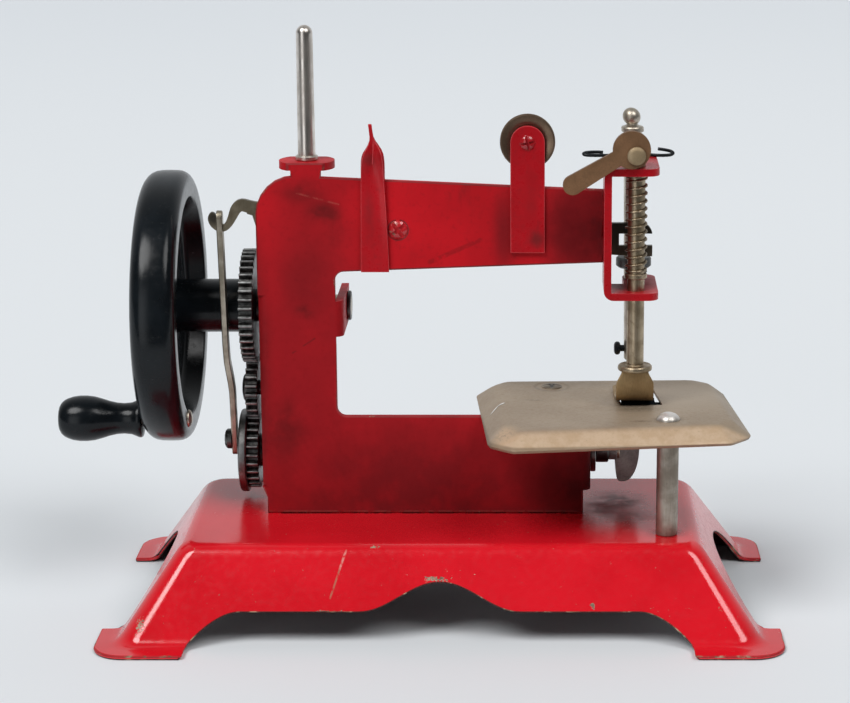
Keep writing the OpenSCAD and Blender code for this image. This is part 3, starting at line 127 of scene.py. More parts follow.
class Finish(Nodes):
    """A material in the making, patterned by the place on the piece. Places and reaches are in mm."""

    def __init__(self, name, slot):
        self.material = bpy.data.materials.new(name)
        self.material.use_nodes = True
        self.material["slot"] = slot
        super().__init__(self.material.node_tree)
        self.place = self.node("TexCoord").outputs["Object"]

    def set(self, socket, value):
        self.feed(self.tree.nodes["Principled BSDF"].inputs[socket], value)

    def away(self, centre):
        return self.vectors("SUBTRACT", self.place, [c * MM for c in centre])

    def cloud(self, scale, detail=4.0, stretch=(1, 1, 1), rough=0.55):
        """Noise whose grains are about 1 / scale metres across."""
        mapping = self.node("Mapping", {"Vector": self.place, "Scale": [scale * s for s in stretch]})
        feeds = {"Vector": mapping.outputs["Vector"], "Scale": 1.0, "Detail": detail, "Roughness": rough}
        return self.node("TexNoise", feeds).outputs["Fac"]

    def patch(self, centre, reach, core):
        """One at a place on the piece, falling to nothing at its reach."""
        away = self.vectors("DIVIDE", self.away(centre), [r * MM for r in reach])
        return self.level(self.length(away), core, 1.0, 1.0, 0.0)

    def line(self, start, end, width):
        """One along a line from start to end, and nothing a width away from it."""
        run = (Vector(end) - Vector(start)) * MM
        away = self.away(start)
        along = self.vectors("DOT_PRODUCT", away, run / run.length_squared, "Value")
        along = self.node("Clamp", {"Value": along}).outputs[0]
        foot = self.node("VectorMath", {0: run, "Scale": along}, operation="SCALE").outputs[0]
        off = self.length(self.vectors("SUBTRACT", away, foot))
        return self.level(off, width * MM * 0.3, width * MM, 1.0, 0.0)

    def reach_from(self, point, keep):
        """Distance in metres from a line through a point; keep has a zero along the line."""
        return self.length(self.vectors("MULTIPLY", self.away(point), keep))

    def done(self, colour, rough, constant, height, depth, strength):
        """Sets the shader's colour, roughness, one (socket, number) and a fine relief."""
        relief = {"Strength": strength, "Distance": depth * MM, "Height": height}
        self.set("Base Color", colour)
        self.set("Roughness", rough)
        self.set(*constant)
        self.set("Normal", self.node("Bump", relief).outputs["Normal"])
        return self.material


# Camera, light and floor

def set_camera():
    place, look_down, lens, shift = (0.0310, -0.6553, 0.2309), 13.83, 105.88, -0.1247
    data = bpy.data.cameras.new("photo_camera")
    camera = bpy.data.objects.new("photo_camera", data)
    scene.collection.objects.link(camera)
    camera.location = place
    camera.rotation_euler = (math.radians(90 - look_down), 0, 0)
    data.lens = lens
    data.sensor_width = 36
    data.shift_x = shift
    scene.camera = camera


def soft_sun(name, place, strength, spread):
    """A wide soft lamp far off, which shines from its place to the machine and lights the floor evenly."""
    data = bpy.data.lights.new(name, "SUN")
    data.energy = strength
    data.angle = math.radians(spread)
    lamp = bpy.data.objects.new(name, data)
    scene.collection.objects.link(lamp)
    lamp.location = place
    lamp.rotation_euler = (-Vector(place)).to_track_quat("-Z", "Y").to_euler()


def set_light():
    soft_sun("left_lamp", (-0.55, -0.64, 1.0), 1.78, 30)
    soft_sun("right_lamp", (0.60, -0.62, 1.0), 1.15, 30)
    scene.world = bpy.data.worlds.new("studio")
    scene.world.use_nodes = True
    tree = scene.world.node_tree
    sky = Nodes(tree)
    x, y, z = sky.node("SeparateXYZ", {0: sky.node("TexCoord").outputs["Generated"]}).outputs
    # The room is dark before the table and pale behind it
    glow = sky.level(y, -0.10, 0.65, 0.05, 0.62, "LINEAR")
    # A card of light stands before the table, to its left
    card_turn, card_half, card_fade, card_light = math.radians(27), 0.14, 0.30, 1.3
    around = sky.sums("ARCTAN2", x, sky.times(y, -1.0))
    off = sky.sums("ABSOLUTE", sky.plus(around, card_turn))
    card = sky.times(sky.level(off, card_half, card_fade, card_light, 0.0), sky.level(z, -0.55, -0.30))
    card = sky.times(card, sky.level(z, 0.25, 0.60, 1.0, 0.0))
    room = tree.nodes["Background"]
    sky.feed(room.inputs["Color"], (0.94, 0.97, 1.0))
    sky.feed(room.inputs["Strength"], sky.plus(glow, card))
    # The camera sees an even pale backdrop instead
    pale = sky.node("Background", {"Color": (0.745, 0.78, 0.81)})
    seen = sky.node("LightPath").outputs["Is Camera Ray"]
    choose = sky.node("MixShader", {0: seen, 1: room.outputs[0], 2: pale.outputs[0]})
    sky.feed(tree.nodes["World Output"].inputs["Surface"], choose.outputs[0])


def set_floor():
    """Pale paper that ends a hand's width before the machine and runs far back, in metres."""
    middle, side = (0, 2.78, 0), 6
    leave_all()
    bpy.ops.mesh.primitive_plane_add(size=1, location=middle)
    floor = bpy.context.object
    floor.name = "paper_floor"
    floor.scale = (side, side, 1)
    bpy.ops.object.transform_apply(location=True, rotation=True, scale=True)
    paper = Finish("paper", "")
    # The paper is painted lighter round a point behind the machine and darker away from it: a painted pool of
    # light on the floor
    away = paper.length(paper.away((50, 300, 0)))
    lit_tint = paper.blend(paper.level(away, 0.1, 1.7), (0.80, 0.83, 0.855), (0.72, 0.755, 0.79))
    # Far off the paper takes the tone of the backdrop, so that its end doesn't show
    lit_tint = paper.blend(paper.level(away, 1.9, 3.0), lit_tint, (0.764, 0.80, 0.831))
    paper.set("Base Color", lit_tint)
    paper.set("Roughness", 0.9)
    paper.set("Specular IOR Level", 0.1)
    floor.data.materials.append(paper.material)


# Finishes

def enamel(name, lit, deep, gloss, shine, grime, smears_and_shade=(), chips=(), scratch_and_shade_lines=(), bare=None, specks=0.35):
    """Red stove enamel over pressed sheet. smears_and_shade are (centre, reach, colour, strength): grease,
    rust and painted shade; chips are (centre, reach) and scratch_and_shade_lines are (start, end, width,
    colour, strength): scratches, and painted shade along a crease. bare is the share worn off an edge."""
    paint = Finish(name, "red_paint")
    fine = paint.cloud(620, 3)
    colour = paint.blend(paint.level(paint.cloud(34, 3), 0.36, 0.66), deep, lit)
    colour = paint.blend(paint.level(fine, 0.5, 0.8, 0.0, specks), colour, [c * 0.55 for c in deep])
    dirt = paint.level(paint.cloud(95, 6, (1, 1, 0.5), 0.68), 0.52, 0.78, 0.0, grime)
    colour = paint.blend(dirt, colour, (0.035, 0.010, 0.008))
    rough = paint.plus(paint.level(fine, 0.3, 0.8, gloss, gloss + 0.10), paint.times(dirt, 0.35))
    for centre, reach, tone, strength in smears_and_shade:
        # A small smear is patchy and a broad one is even
        least = 0.8 if max(reach) > 15 else 0.2
        blotches = paint.level(paint.cloud(160, 5), 0.30, 0.62, least, 1.0)
        smear = paint.times(paint.patch(centre, reach, 0.1), blotches)
        colour = paint.blend(paint.times(smear, strength), colour, tone)
        rough = paint.plus(rough, paint.times(smear, strength * 0.3))
    for start, end, width, tone, strength in scratch_and_shade_lines:
        ragged = paint.level(paint.cloud(420, 5, rough=0.7), 0.38, 0.52)
        mark = paint.times(paint.line(start, end, width), ragged)
        colour = paint.blend(paint.times(mark, strength), colour, tone)
    worn = []
    if chips:
        flecks = paint.times(paint.sums("SUBTRACT", paint.cloud(1300, 4, rough=0.65), 0.5), 3.2)
        spots = [paint.plus(paint.patch(centre, reach, 0.0), flecks) for centre, reach in chips]
        worn.append(paint.level(paint.most(spots), 0.62, 0.72))
    if bare is not None:
        rub = paint.cloud(240, 5, rough=0.7)
        worn.append(paint.level(rub, 0.62 - 0.3 * bare, 0.70 - 0.3 * bare))
    height = paint.times(paint.cloud(240, 2), 0.5)
    if worn:
        worn = paint.most(worn)
        metal = paint.blend(paint.level(fine, 0.35, 0.7), (0.14, 0.085, 0.05), (0.40, 0.30, 0.20))
        colour = paint.blend(worn, colour, metal)
        rough = paint.plus(rough, paint.times(worn, 0.25))
        height = paint.sums("SUBTRACT", height, worn)
    return paint.done(colour, rough, ("Specular IOR Level", shine), height, 0.05, 0.35)


def plated(name, slot, light, dark, rough, grain=(1, 1, 0.06), stain=0.35, stain_tone=(0.10, 0.07, 0.04),
           metallic=1.0, smears_and_shade=()):
    """Bare or plated metal with drawn grain, dull patches and brown stains."""
    plate = Finish(name, slot)
    drawn = plate.cloud(2600, 3, grain)
    broad = plate.level(plate.cloud(150, 4), 0.35, 0.68)
    colour = plate.blend(broad, dark, light)
    colour = plate.blend(plate.level(drawn, 0.4, 0.8, 0.0, 0.35), colour, [c * 0.6 for c in dark])
    stained = plate.level(plate.cloud(320, 6, rough=0.7), 0.55, 0.75, 0.0, stain)
    colour = plate.blend(stained, colour, stain_tone)
    for centre, reach, tone, strength in smears_and_shade:
        colour = plate.blend(plate.times(plate.patch(centre, reach, 0.2), strength), colour, tone)
    dull = plate.plus(plate.level(broad, 0, 1, rough + 0.10, rough), plate.times(stained, 0.5))
    height = plate.plus(drawn, plate.times(stained, -1.5))
    return plate.done(colour, dull, ("Metallic", metallic), height, 0.02, 0.3)


def gear_steel(name, centre, tip_r):
    """Oiled dark steel, painted lighter on the tips of the teeth: rubbed steel there, and a painted
    highlight.
    """
    steel = Finish(name, "dark_steel")
    grain = steel.cloud(900, 5)
    colour = steel.blend(steel.level(grain, 0.35, 0.7), (0.045, 0.045, 0.044), (0.13, 0.13, 0.125))
    # The tips of the teeth are painted lighter: rubbed steel with a painted highlight
    out = steel.reach_from(centre, (0, 1, 1))
    rubbed_and_highlit = steel.level(out, (tip_r - 0.55) * MM, (tip_r - 0.05) * MM, 0.0, 0.75)
    rubbed_and_highlit = steel.times(rubbed_and_highlit, steel.level(grain, 0.3, 0.6, 0.5, 1.0))
    colour = steel.blend(rubbed_and_highlit, colour, (0.42, 0.43, 0.42))
    oil = steel.level(steel.cloud(240, 5), 0.52, 0.7, 0.0, 0.7)
    colour = steel.blend(oil, colour, (0.014, 0.013, 0.012))
    rough = steel.level(grain, 0.3, 0.75, 0.30, 0.48)
    return steel.done(colour, rough, ("Metallic", 0.85), grain, 0.04, 0.4)


def black_enamel(name, slot="black_gloss", rough=0.17, dust=0.06, shine=0.24):
    """Glossy black, a little dusty, with hairline rubs."""
    black = Finish(name, slot)
    fine = black.cloud(700, 5, rough=0.65)
    broad = black.cloud(60, 3)
    rubs = black.level(black.cloud(900, 2, (0.06, 1, 1)), 0.60, 0.72, 0.0, 0.4)
    colour = black.blend(black.level(broad, 0.35, 0.7), (0.004, 0.0055, 0.007), (0.0085, 0.0115, 0.0145))
    colour = black.blend(black.level(fine, 0.58, 0.8, 0.0, dust), colour, (0.20, 0.19, 0.17))
    dull = black.plus(black.level(fine, 0.3, 0.8, rough, rough + 0.10), black.times(rubs, 0.12))
    return black.done(colour, dull, ("Specular IOR Level", shine), broad, 0.05, 0.15)


def khaki_plate(name):
    """The bed's matte khaki plating, painted paler on its front turned-down edge as painted light, scratched
    at the left.
    """
    khaki = Finish(name, "tan_plate")
    broad = khaki.level(khaki.cloud(55, 4), 0.35, 0.68)
    fine = khaki.cloud(1100, 4, rough=0.7)
    colour = khaki.blend(broad, (0.355, 0.274, 0.192), (0.415, 0.330, 0.240))
    # The front edge, which lies askew with the plate, is painted paler and warmer: painted light on the face
    # that turns to the lamps
    yaw = math.radians(BED_YAW)
    across = (-math.sin(yaw), math.cos(yaw), 0)
    deep = khaki.vectors("DOT_PRODUCT", khaki.away((*BED_MID, 0)), across, "Value")
    skirt = khaki.level(deep, -26.2 * MM, -23.8 * MM, 1.0, 0.0)
    mottle = khaki.level(khaki.cloud(260, 5, rough=0.65), 0.35, 0.65)
    colour = khaki.blend(skirt, colour, khaki.blend(mottle, (0.56, 0.395, 0.25), (0.64, 0.475, 0.325)))
    colour = khaki.blend(khaki.level(fine, 0.58, 0.85, 0.0, 0.45), colour, (0.17, 0.125, 0.08))
    up = khaki.node("SeparateXYZ", {0: khaki.place}).outputs["Z"]
    hem = khaki.level(up, (BED_TOP - 4.0) * MM, (BED_TOP - 3.5) * MM, 0.6, 0.0)
    colour = khaki.blend(hem, colour, (0.12, 0.085, 0.05))
    for centre, reach, tone, strength in (
            ((60.0, -11.5, BED_TOP), (9.0, 4.5, 3), (0.12, 0.09, 0.06), 0.5),
            ((POST_X, POST_Y - 1.8, BED_TOP), (5.6, 5.2, 2), (0.11, 0.08, 0.05), 0.8),
            ((POST_X - 7, POST_Y - 3, BED_TOP), (4.5, 1.2, 2), (0.13, 0.09, 0.055), 0.6),
            ((32.0, -3.0, BED_TOP), (5.0, 1.0, 2), (0.13, 0.10, 0.07), 0.4),
            ((24.0, -31.0, BED_TOP - 2), (6, 7, 4), (0.72, 0.53, 0.35), 0.6),
            ((74.0, 2.0, BED_TOP), (20, 20, 3), (0.50, 0.425, 0.335), 0.6)):
        mark = khaki.times(khaki.patch(centre, reach, 0.1), khaki.level(fine, 0.3, 0.55))
        colour = khaki.blend(khaki.times(mark, strength), colour, tone)
    # A slit in the left edge, bright on one lip
    for shift, width, tone in ((-0.35, 0.6, (0.05, 0.035, 0.02)), (0.0, 0.5, (0.92, 0.90, 0.86))):
        slit = khaki.line((18.8, -11.6 + shift, 54.4), (23.6, -5.9 + shift, BED_TOP), width)
        colour = khaki.blend(slit, colour, tone)
    # The dimple pressed round the rivet
    out = khaki.reach_from((RIVET_X, RIVET_Y, 0), (1, 1, 0))
    ring = khaki.times(khaki.level(out, 3.8 * MM, 4.6 * MM), khaki.level(out, 4.6 * MM, 5.4 * MM, 1.0, 0.0))
    colour = khaki.blend(khaki.times(ring, 0.3), colour, (0.16, 0.12, 0.08))
    height = khaki.plus(khaki.times(fine, 0.12), khaki.level(out, 3.4 * MM, 5.2 * MM))
    rough = khaki.level(fine, 0.3, 0.8, 0.42, 0.60)
    return khaki.done(colour, rough, ("Metallic", 0.35), height, 0.35, 0.8)


def make_finishes():
    """All finishes of this machine by name."""
    grease_and_shade, rust_and_shade, shade = (0.016, 0.007, 0.006), (0.050, 0.007, 0.007), (0.13, 0.0045, 0.007)
    pale, brown = (0.80, 0.42, 0.36), (0.42, 0.20, 0.13)
    undrawn = (1, 1, 1)
    front, foot_y = FRAME_Y, FRAME_Y - 0.1
    return {
        "base": enamel(
            "base_enamel", (0.74, 0.0085, 0.019), (0.64, 0.006, 0.014), 0.12, 0.75, 0.05,
            # The first two are grease with a painted dark reflection of the bed above laid into them
            smears_and_shade=[((55, 8, BASE_TOP), (11, 13, 2), grease_and_shade, 0.97),
                    ((50, 1, BASE_TOP), (7, 9, 2), grease_and_shade, 0.95),
                    ((58, -6, BASE_TOP), (12, 9, 2), rust_and_shade, 0.6),
                    ((POST_X, POST_Y, BASE_TOP), (7, 6, 2), grease_and_shade, 0.8),
                    ((-30, 4, BASE_TOP), (14, 7, 2), rust_and_shade, 0.35),
                    # The whole top face is painted darker: a painted shade on the face that looks up
                    ((7, 0, BASE_TOP), (100, 45, 1.6), (0.46, 0.006, 0.013), 0.55)],
            chips=[((-71.0, -40.6, 7.6), (2.4, 3.4, 7.5)), ((6, -35, 16.9), (6.5, 2.5, 1.5)),
                   ((-21.5, -39.4, 9.3), (9, 2, 0.9)), ((75.9, -32.8, 22.2), (0.9, 1.4, 2.6)),
                   ((47, -38.5, 10.8), (1.2, 2, 1.2)), ((-10, -31, 24.6), (2.5, 1.2, 1.0))],
            scratch_and_shade_lines=[((-17.2, -31.6, 24.5), (-19.0, -34.2, 19.4), 0.45, pale, 0.65),
                       ((-19.0, -34.2, 19.4), (-21.4, -37.6, 12.6), 0.38, brown, 0.7),
                       # The dark line along the frame's foot is painted shade in the crease where the frame
                       # stands on the base
                       ((-41, foot_y, BASE_TOP), (45, foot_y, BASE_TOP), 0.8, grease_and_shade, 0.8)],
            specks=0.08),
        "edge": enamel("worn_edge_enamel", (0.34, 0.012, 0.016), (0.20, 0.008, 0.010), 0.32, 0.4, 0.4,
                       bare=0.0),
        "cut_edge": enamel(
            "cut_edge_enamel", (0.10, 0.016, 0.014), (0.05, 0.010, 0.009), 0.40, 0.3, 0.5, bare=0.35,
            smears_and_shade=[((MID_X, 0, 1.25), (300, 200, 0.75), (0.70, 0.010, 0.021), 1.0)]),
        "rivet": enamel("rivet_enamel", (0.58, 0.018, 0.026), (0.36, 0.008, 0.013), 0.14, 0.7, 0.2, bare=0.1),
        # Pale pink on the broken edges of the trim: a painted highlight along them
        "rim": enamel("rubbed_rim_enamel", (0.66, 0.075, 0.085), (0.52, 0.035, 0.045), 0.18, 0.5, 0.12),
        # The underside of the sheet is painted near black: a painted shade inside the base
        "inside": enamel("painted_shade_inner_enamel", (0.070, 0.006, 0.008), (0.030, 0.004, 0.005), 0.45, 0.3, 0.6),
        "frame": enamel(
            "frame_enamel", (0.61, 0.0070, 0.0145), (0.45, 0.0055, 0.0110), 0.42, 0.16, 0.36,
            smears_and_shade=[((-28, front, 78), (24, 9, 72), (0.20, 0.0052, 0.0085), 0.62),
                    ((0, front, 22), (100, 12, 56), shade, 0.9),
                    # The next two are painted shade: on the lower arm under the bed, and on the arm's right
                    # end beside the head bracket
                    ((47, front, 34), (24, 9, 21), (0.045, 0.0035, 0.0045), 0.85),
                    ((49, front, 104), (20, 9, 24), (0.085, 0.004, 0.006), 0.92),
                    ((40, front, 104), (9, 9, 22), shade, 0.75),
                    ((23.8, front, 103), (4.5, 5, 17), shade, 0.7),
                    ((-24.1, front, 108.2), (6.5, 3, 4.6), rust_and_shade, 0.7),
                    ((-29.7, front, 81.3), (4, 3, 3), rust_and_shade, 0.55),
                    ((-42.5, front, 70), (5.5, 5, 46), rust_and_shade, 0.6), ((-28, front, 92), (12, 5, 16), rust_and_shade, 0.3),
                    ((-30, front, 114), (9, 5, 5), rust_and_shade, 0.45), ((-35, front, 48), (8, 5, 12), rust_and_shade, 0.4)],
            scratch_and_shade_lines=[((4.1, front, 94.9), (17.5, front, 100.9), 0.9, rust_and_shade, 0.32),
                       ((-41, front, 25.4), (44, front, 25.4), 0.45, (0.35, 0.16, 0.13), 0.25),
                       ((-33, front, 70), (-27, front, 74), 0.35, rust_and_shade, 0.45),
                       ((-31, front, 113.5), (-20, front, 110.5), 0.35, (0.50, 0.10, 0.08), 0.35)]),
        "trim": enamel(
            "trim_enamel", (0.51, 0.0075, 0.015), (0.39, 0.006, 0.011), 0.26, 0.28, 0.22,
            smears_and_shade=[((32.5, STRAP_Y, 101.5), (3.5, 2, 3.5), rust_and_shade, 0.6),
                    ((31, STRAP_Y, 113), (3, 2, 9), rust_and_shade, 0.25),
                    # A painted shade down the left part of the thread guide strip
                    ((-12, STRAP_Y, 108), (2.5, 2, 11), rust_and_shade, 0.35),
                    ((-11.5, STRAP_Y, 122.5), (2.2, 2, 2.4), rust_and_shade, 0.5),
                    # A painted shadow on the head bracket's lower plate, under its upper plate and the bars
                    ((58, 1, BRACKET_LOW + 2.2), (13, 18, 1.9), rust_and_shade, 0.8)]),
        "pin": plated("spool_nickel", "dull_nickel", (0.82, 0.76, 0.70), (0.63, 0.57, 0.51), 0.28, stain=0.2),
        "bright": plated("bright_nickel", "dull_nickel", (0.66, 0.60, 0.52), (0.48, 0.42, 0.34), 0.34,
                         stain=0.3),
        "nickel": plated("dull_nickel_plate", "dull_nickel", (0.56, 0.48, 0.385), (0.36, 0.29, 0.215), 0.30),
        "drab": plated("drab_plate", "drab_steel", (0.48, 0.385, 0.27), (0.26, 0.20, 0.125), 0.34, stain=0.5),
        "spring": plated("spring_bronze", "dull_nickel", (0.40, 0.325, 0.23), (0.22, 0.17, 0.11), 0.30,
                         undrawn, 0.45),
        "strap": plated(
            "olive_strap", "drab_steel", (0.36, 0.31, 0.225), (0.19, 0.16, 0.11), 0.33, (1, 1, 0.2), 0.5,
            smears_and_shade=[((58, 0.3, 103.6), (16, 9, 12), (0.045, 0.042, 0.037), 0.92),
                    ((-53.6, 0.3, 106.3), (2.6, 4, 3.4), (0.05, 0.045, 0.04), 0.9)]),
        "disc": plated("dark_bronze", "old_brass", (0.29, 0.20, 0.138), (0.165, 0.11, 0.072), 0.36,
                       undrawn, 0.5, (0.05, 0.032, 0.02)),
        "lever": plated("brown_oxide", "brown_steel", (0.28, 0.148, 0.072), (0.19, 0.098, 0.045), 0.46,
                        undrawn, 0.35, (0.07, 0.04, 0.022), 0.45),
        "brass": plated("rubbed_brass", "brown_steel", (0.50, 0.39, 0.25), (0.34, 0.25, 0.145), 0.46,
                        undrawn, 0.3, metallic=0.6),
        # The foot is painted darker towards its sole: a painted shade
        "foot": plated(
            "golden_brown", "drab_steel", (0.57, 0.405, 0.215), (0.41, 0.28, 0.142), 0.42, (1, 1, 0.3), 0.4,
            (0.06, 0.036, 0.018), smears_and_shade=[((BAR_X, -9, 57.4), (12, 9, 6), (0.045, 0.028, 0.016), 0.92)]),
        "dark": plated("oiled_steel", "dark_steel", (0.15, 0.15, 0.145), (0.062, 0.062, 0.06), 0.34,
                       undrawn, 0.6, (0.018, 0.016, 0.014)),
        "grey": plated("grey_steel", "dark_steel", (0.26, 0.255, 0.25), (0.13, 0.125, 0.12), 0.34,
                       undrawn, 0.6, (0.03, 0.027, 0.024)),
        "looper": plated("cast_grey", "dull_nickel", (0.40, 0.39, 0.37), (0.20, 0.195, 0.185), 0.38,
                         undrawn, 0.6, (0.05, 0.045, 0.04), 0.3),
        "pillar": plated(
            "pillar_steel", "dull_nickel", (0.42, 0.375, 0.315), (0.25, 0.215, 0.17), 0.36, stain=0.45,
            metallic=0.7, smears_and_shade=[((POST_X, POST_Y - 1.8, 58.4), (6, 6, 2.2), (0.86, 0.83, 0.79), 1.0)]),
        "black": black_enamel("black_gloss_enamel"),
        "blued": black_enamel("blued_steel", "dark_steel", 0.26, 0.08),
        "greasy": black_enamel("greasy_steel", "dark_steel", 0.60, 0.25, 0.02),
        "link": plated("link_steel", "drab_steel", (0.52, 0.47, 0.385), (0.30, 0.265, 0.205), 0.30,
                       (1, 1, 0.2), 0.35),
        "stud": plated(
            "stud_steel", "drab_steel", (0.40, 0.33, 0.25), (0.16, 0.125, 0.09), 0.36, undrawn, 0.6,
            (0.03, 0.022, 0.015), 0.7,
            [((RIVET_X, RIVET_Y, 57), (1.2, 2.6, 2), (0.012, 0.009, 0.006), 0.95)]),
        "khaki": khaki_plate("khaki_plate")}


# The maker's tools

def leave_all():
    """Object mode with nothing selected."""
    if bpy.context.object and bpy.context.object.mode != "OBJECT":
        bpy.ops.object.mode_set(mode="OBJECT")
    bpy.ops.object.select_all(action="DESELECT")


def hold(piece):
    leave_all()
    piece.select_set(True)
    bpy.context.view_layer.objects.active = piece
    return piece


def on_whole(piece, *steps):
    """Steps of edit mode, each an operator and its settings, on the whole mesh."""
    hold(piece)
    bpy.ops.object.mode_set(mode="EDIT")
    for operator, settings in steps:
        bpy.ops.mesh.select_all(action="SELECT")
        operator(**settings)
    bpy.ops.object.mode_set(mode="OBJECT")
    return piece


# Steps that many pieces share
MERGE = (bpy.ops.mesh.remove_doubles, {"threshold": 0.002 * MM})
FILL = (bpy.ops.mesh.fill_holes, {"sides": 0})
FACE_OUT = (bpy.ops.mesh.normals_make_consistent, {"inside": False})


def merged(piece, near):
    """Corners nearer than this, in mm, become one."""
    return on_whole(piece, (bpy.ops.mesh.remove_doubles, {"threshold": near * MM}))


def closed(piece):
    """Merges doubles, closes the ends and turns all faces outwards."""
    return on_whole(piece, MERGE, FILL, FACE_OUT)


def apply_one(piece, kind, **settings):
    hold(piece)
    modifier = piece.modifiers.new(kind.lower(), kind)
    for key, value in settings.items():
        setattr(modifier, key, value)
    bpy.ops.object.modifier_apply(modifier=modifier.name)
    return piece


def thickened(piece, thickness, **settings):
    """Gives a skin the thickness of its sheet, on the side away from its normals."""
    return apply_one(piece, "SOLIDIFY", thickness=thickness * MM, offset=-1, use_even_offset=True, **settings)


def soften(piece, width, angle=35, segments=2, edge=-1, clamp=True, limit="ANGLE"):
    """Breaks the edges; edge is the place of the finish that the broken edges get."""
    while len(piece.data.materials) <= edge:
        piece.data.materials.append(None)
    return apply_one(piece, "BEVEL", width=width * MM, segments=segments, limit_method=limit,
                     angle_limit=math.radians(angle), material=edge, miter_outer="MITER_ARC",
                     use_clamp_overlap=clamp)


def soften_outline(piece, width, edge, planes):
    """Breaks only the edges that lie in planes across Y, and not the short level ones where tabs begin."""
    near, in_plane, shortest, sharp = 0.03, 0.02, 3, 0.6
    merged(piece, near)
    mesh = bmesh.new()
    mesh.from_mesh(piece.data)
    weight = mesh.edges.layers.float.new("bevel_weight_edge")
    for side in mesh.edges:
        a, b = (corner.co / MM for corner in side.verts)
        short_level = abs(a.z - b.z) < 0.01 and (a - b).length < shortest
        flat = any(max(abs(a.y - y), abs(b.y - y)) < in_plane for y in planes)
        if flat and not short_level and len(side.link_faces) == 2:
            side[weight] = 1.0 if side.calc_face_angle() > sharp else 0.0
    mesh.to_mesh(piece.data)
    mesh.free()
    return soften(piece, width, edge=edge, clamp=False, limit="WEIGHT")


def shaded(piece, angle=32):
    on_whole(piece, MERGE)
    bpy.ops.object.shade_smooth_by_angle(angle=math.radians(angle))
    return apply_one(piece, "WEIGHTED_NORMAL", keep_sharp=True, weight=60)


def combined(piece, other, how):
    """Uses up the other solid on the piece."""
    apply_one(piece, "BOOLEAN", object=other, operation=how, solver="EXACT")
    bpy.data.objects.remove(other)
    return piece


def cut(piece, *cutters):
    for cutter in cutters:
        combined(piece, cutter, "DIFFERENCE")
    return piece


def fused(piece, other):
    """One skin round two solids that overlap."""
    return on_whole(combined(piece, other, "UNION"), MERGE)


def joined(first, *others):
    leave_all()
    for piece in (first, *others):
        piece.select_set(True)
    bpy.context.view_layer.objects.active = first
    bpy.ops.object.join()
    return first


def turned(axis, centre, stations, sides=40):
    """Turns a piece as on a lathe: a ring is drawn out along the axis, station by station.
    Each station is (place along the axis, radius)."""
    point_r, point_merge = 0.02, 0.045
    leave_all()
    lie = {"X": (0, math.pi / 2, 0), "Y": (-math.pi / 2, 0, 0), "Z": (0, 0, 0)}[axis]
    way = WAYS[axis]
    base = Vector(centre) * MM
    at, radius = stations[0][0], max(stations[0][1], point_r)
    bpy.ops.mesh.primitive_circle_add(vertices=sides, radius=radius * MM, fill_type="NGON",
                                      location=base + way * at * MM, rotation=lie)
    piece = bpy.context.object
    bpy.ops.object.transform_apply(location=True, rotation=True, scale=True)
    bpy.ops.object.mode_set(mode="EDIT")
    bpy.ops.mesh.select_mode(type="FACE")
    bpy.ops.mesh.select_all(action="SELECT")
    for along, r in stations[1:]:
        r = max(r, point_r)
        bpy.ops.mesh.extrude_region_move(TRANSFORM_OT_translate={"value": way * (along - at) * MM})
        share = r / radius
        bpy.ops.transform.resize(value=(share, share, share), center_override=base + way * along * MM)
        at, radius = along, r
    # The small rings on the axis shrink to points
    return merged(closed(piece), point_merge)


def headed(face, d, h, way):
    """Stations of a domed head on a face, d across and h high: up from the face, or down to it for way -1."""
    steps = 5
    r = (d * d / 4 + h * h) / (2 * h)
    half = math.asin(d / 2 / r)
    angles = [half * (1 - i / steps) for i in range(steps + 1)]
    return [(face + way * (h - r + r * math.cos(a)), r * math.sin(a)) for a in angles][::way]


def outlined(points, axis, low, high):
    """A flat outline in mm, drawn on a ring of points and pulled out along X, Y or Z."""
    leave_all()
    bpy.ops.mesh.primitive_circle_add(vertices=len(points), radius=MM, fill_type="NGON")
    piece = bpy.context.object
    for corner, (u, v) in zip(piece.data.vertices, points):
        corner.co = Vector({"X": (low, u, v), "Y": (u, low, v), "Z": (u, v, low)}[axis]) * MM
    pull = WAYS[axis] * (high - low) * MM
    on_whole(piece, (bpy.ops.mesh.extrude_region_move, {"TRANSFORM_OT_translate": {"value": pull}}))
    return closed(piece)


def lofted(sections):
    """An open skin over rings of as many points each, in mm: each ring is drawn out to the next, and the
    last one is filled."""
    leave_all()
    count = len(sections[0])
    bpy.ops.mesh.primitive_circle_add(vertices=count, radius=MM, fill_type="NOTHING")
    piece = bpy.context.object
    for corner, point in zip(piece.data.vertices, sections[0]):
        corner.co = Vector(point) * MM
    bpy.ops.object.mode_set(mode="EDIT")
    bpy.ops.mesh.select_mode(type="VERT")
    bpy.ops.mesh.select_all(action="SELECT")
    for before, section in zip(sections, sections[1:]):
        bpy.ops.mesh.extrude_region_move()
        mesh = bmesh.from_edit_mesh(piece.data)
        for vert in mesh.verts:
            if vert.select:
                near = min(range(count), key=lambda i: (vert.co - Vector(before[i]) * MM).length)
                vert.co = Vector(section[near]) * MM
        bmesh.update_edit_mesh(piece.data)
    bpy.ops.mesh.edge_face_add()
    return on_whole(piece, FACE_OUT)


def strip(rows, thickness):
    """A bent strip of sheet from rows of points across it, in mm, given its thickness at the end."""
    leave_all()
    across = len(rows[0])
    bpy.ops.mesh.primitive_grid_add(x_subdivisions=across - 1, y_subdivisions=len(rows) - 1, size=MM)
    piece = bpy.context.object
    points = [p for row in rows for p in row]
    for corner, point in zip(piece.data.vertices, points):
        corner.co = Vector(point) * MM
    return closed(thickened(piece, thickness))


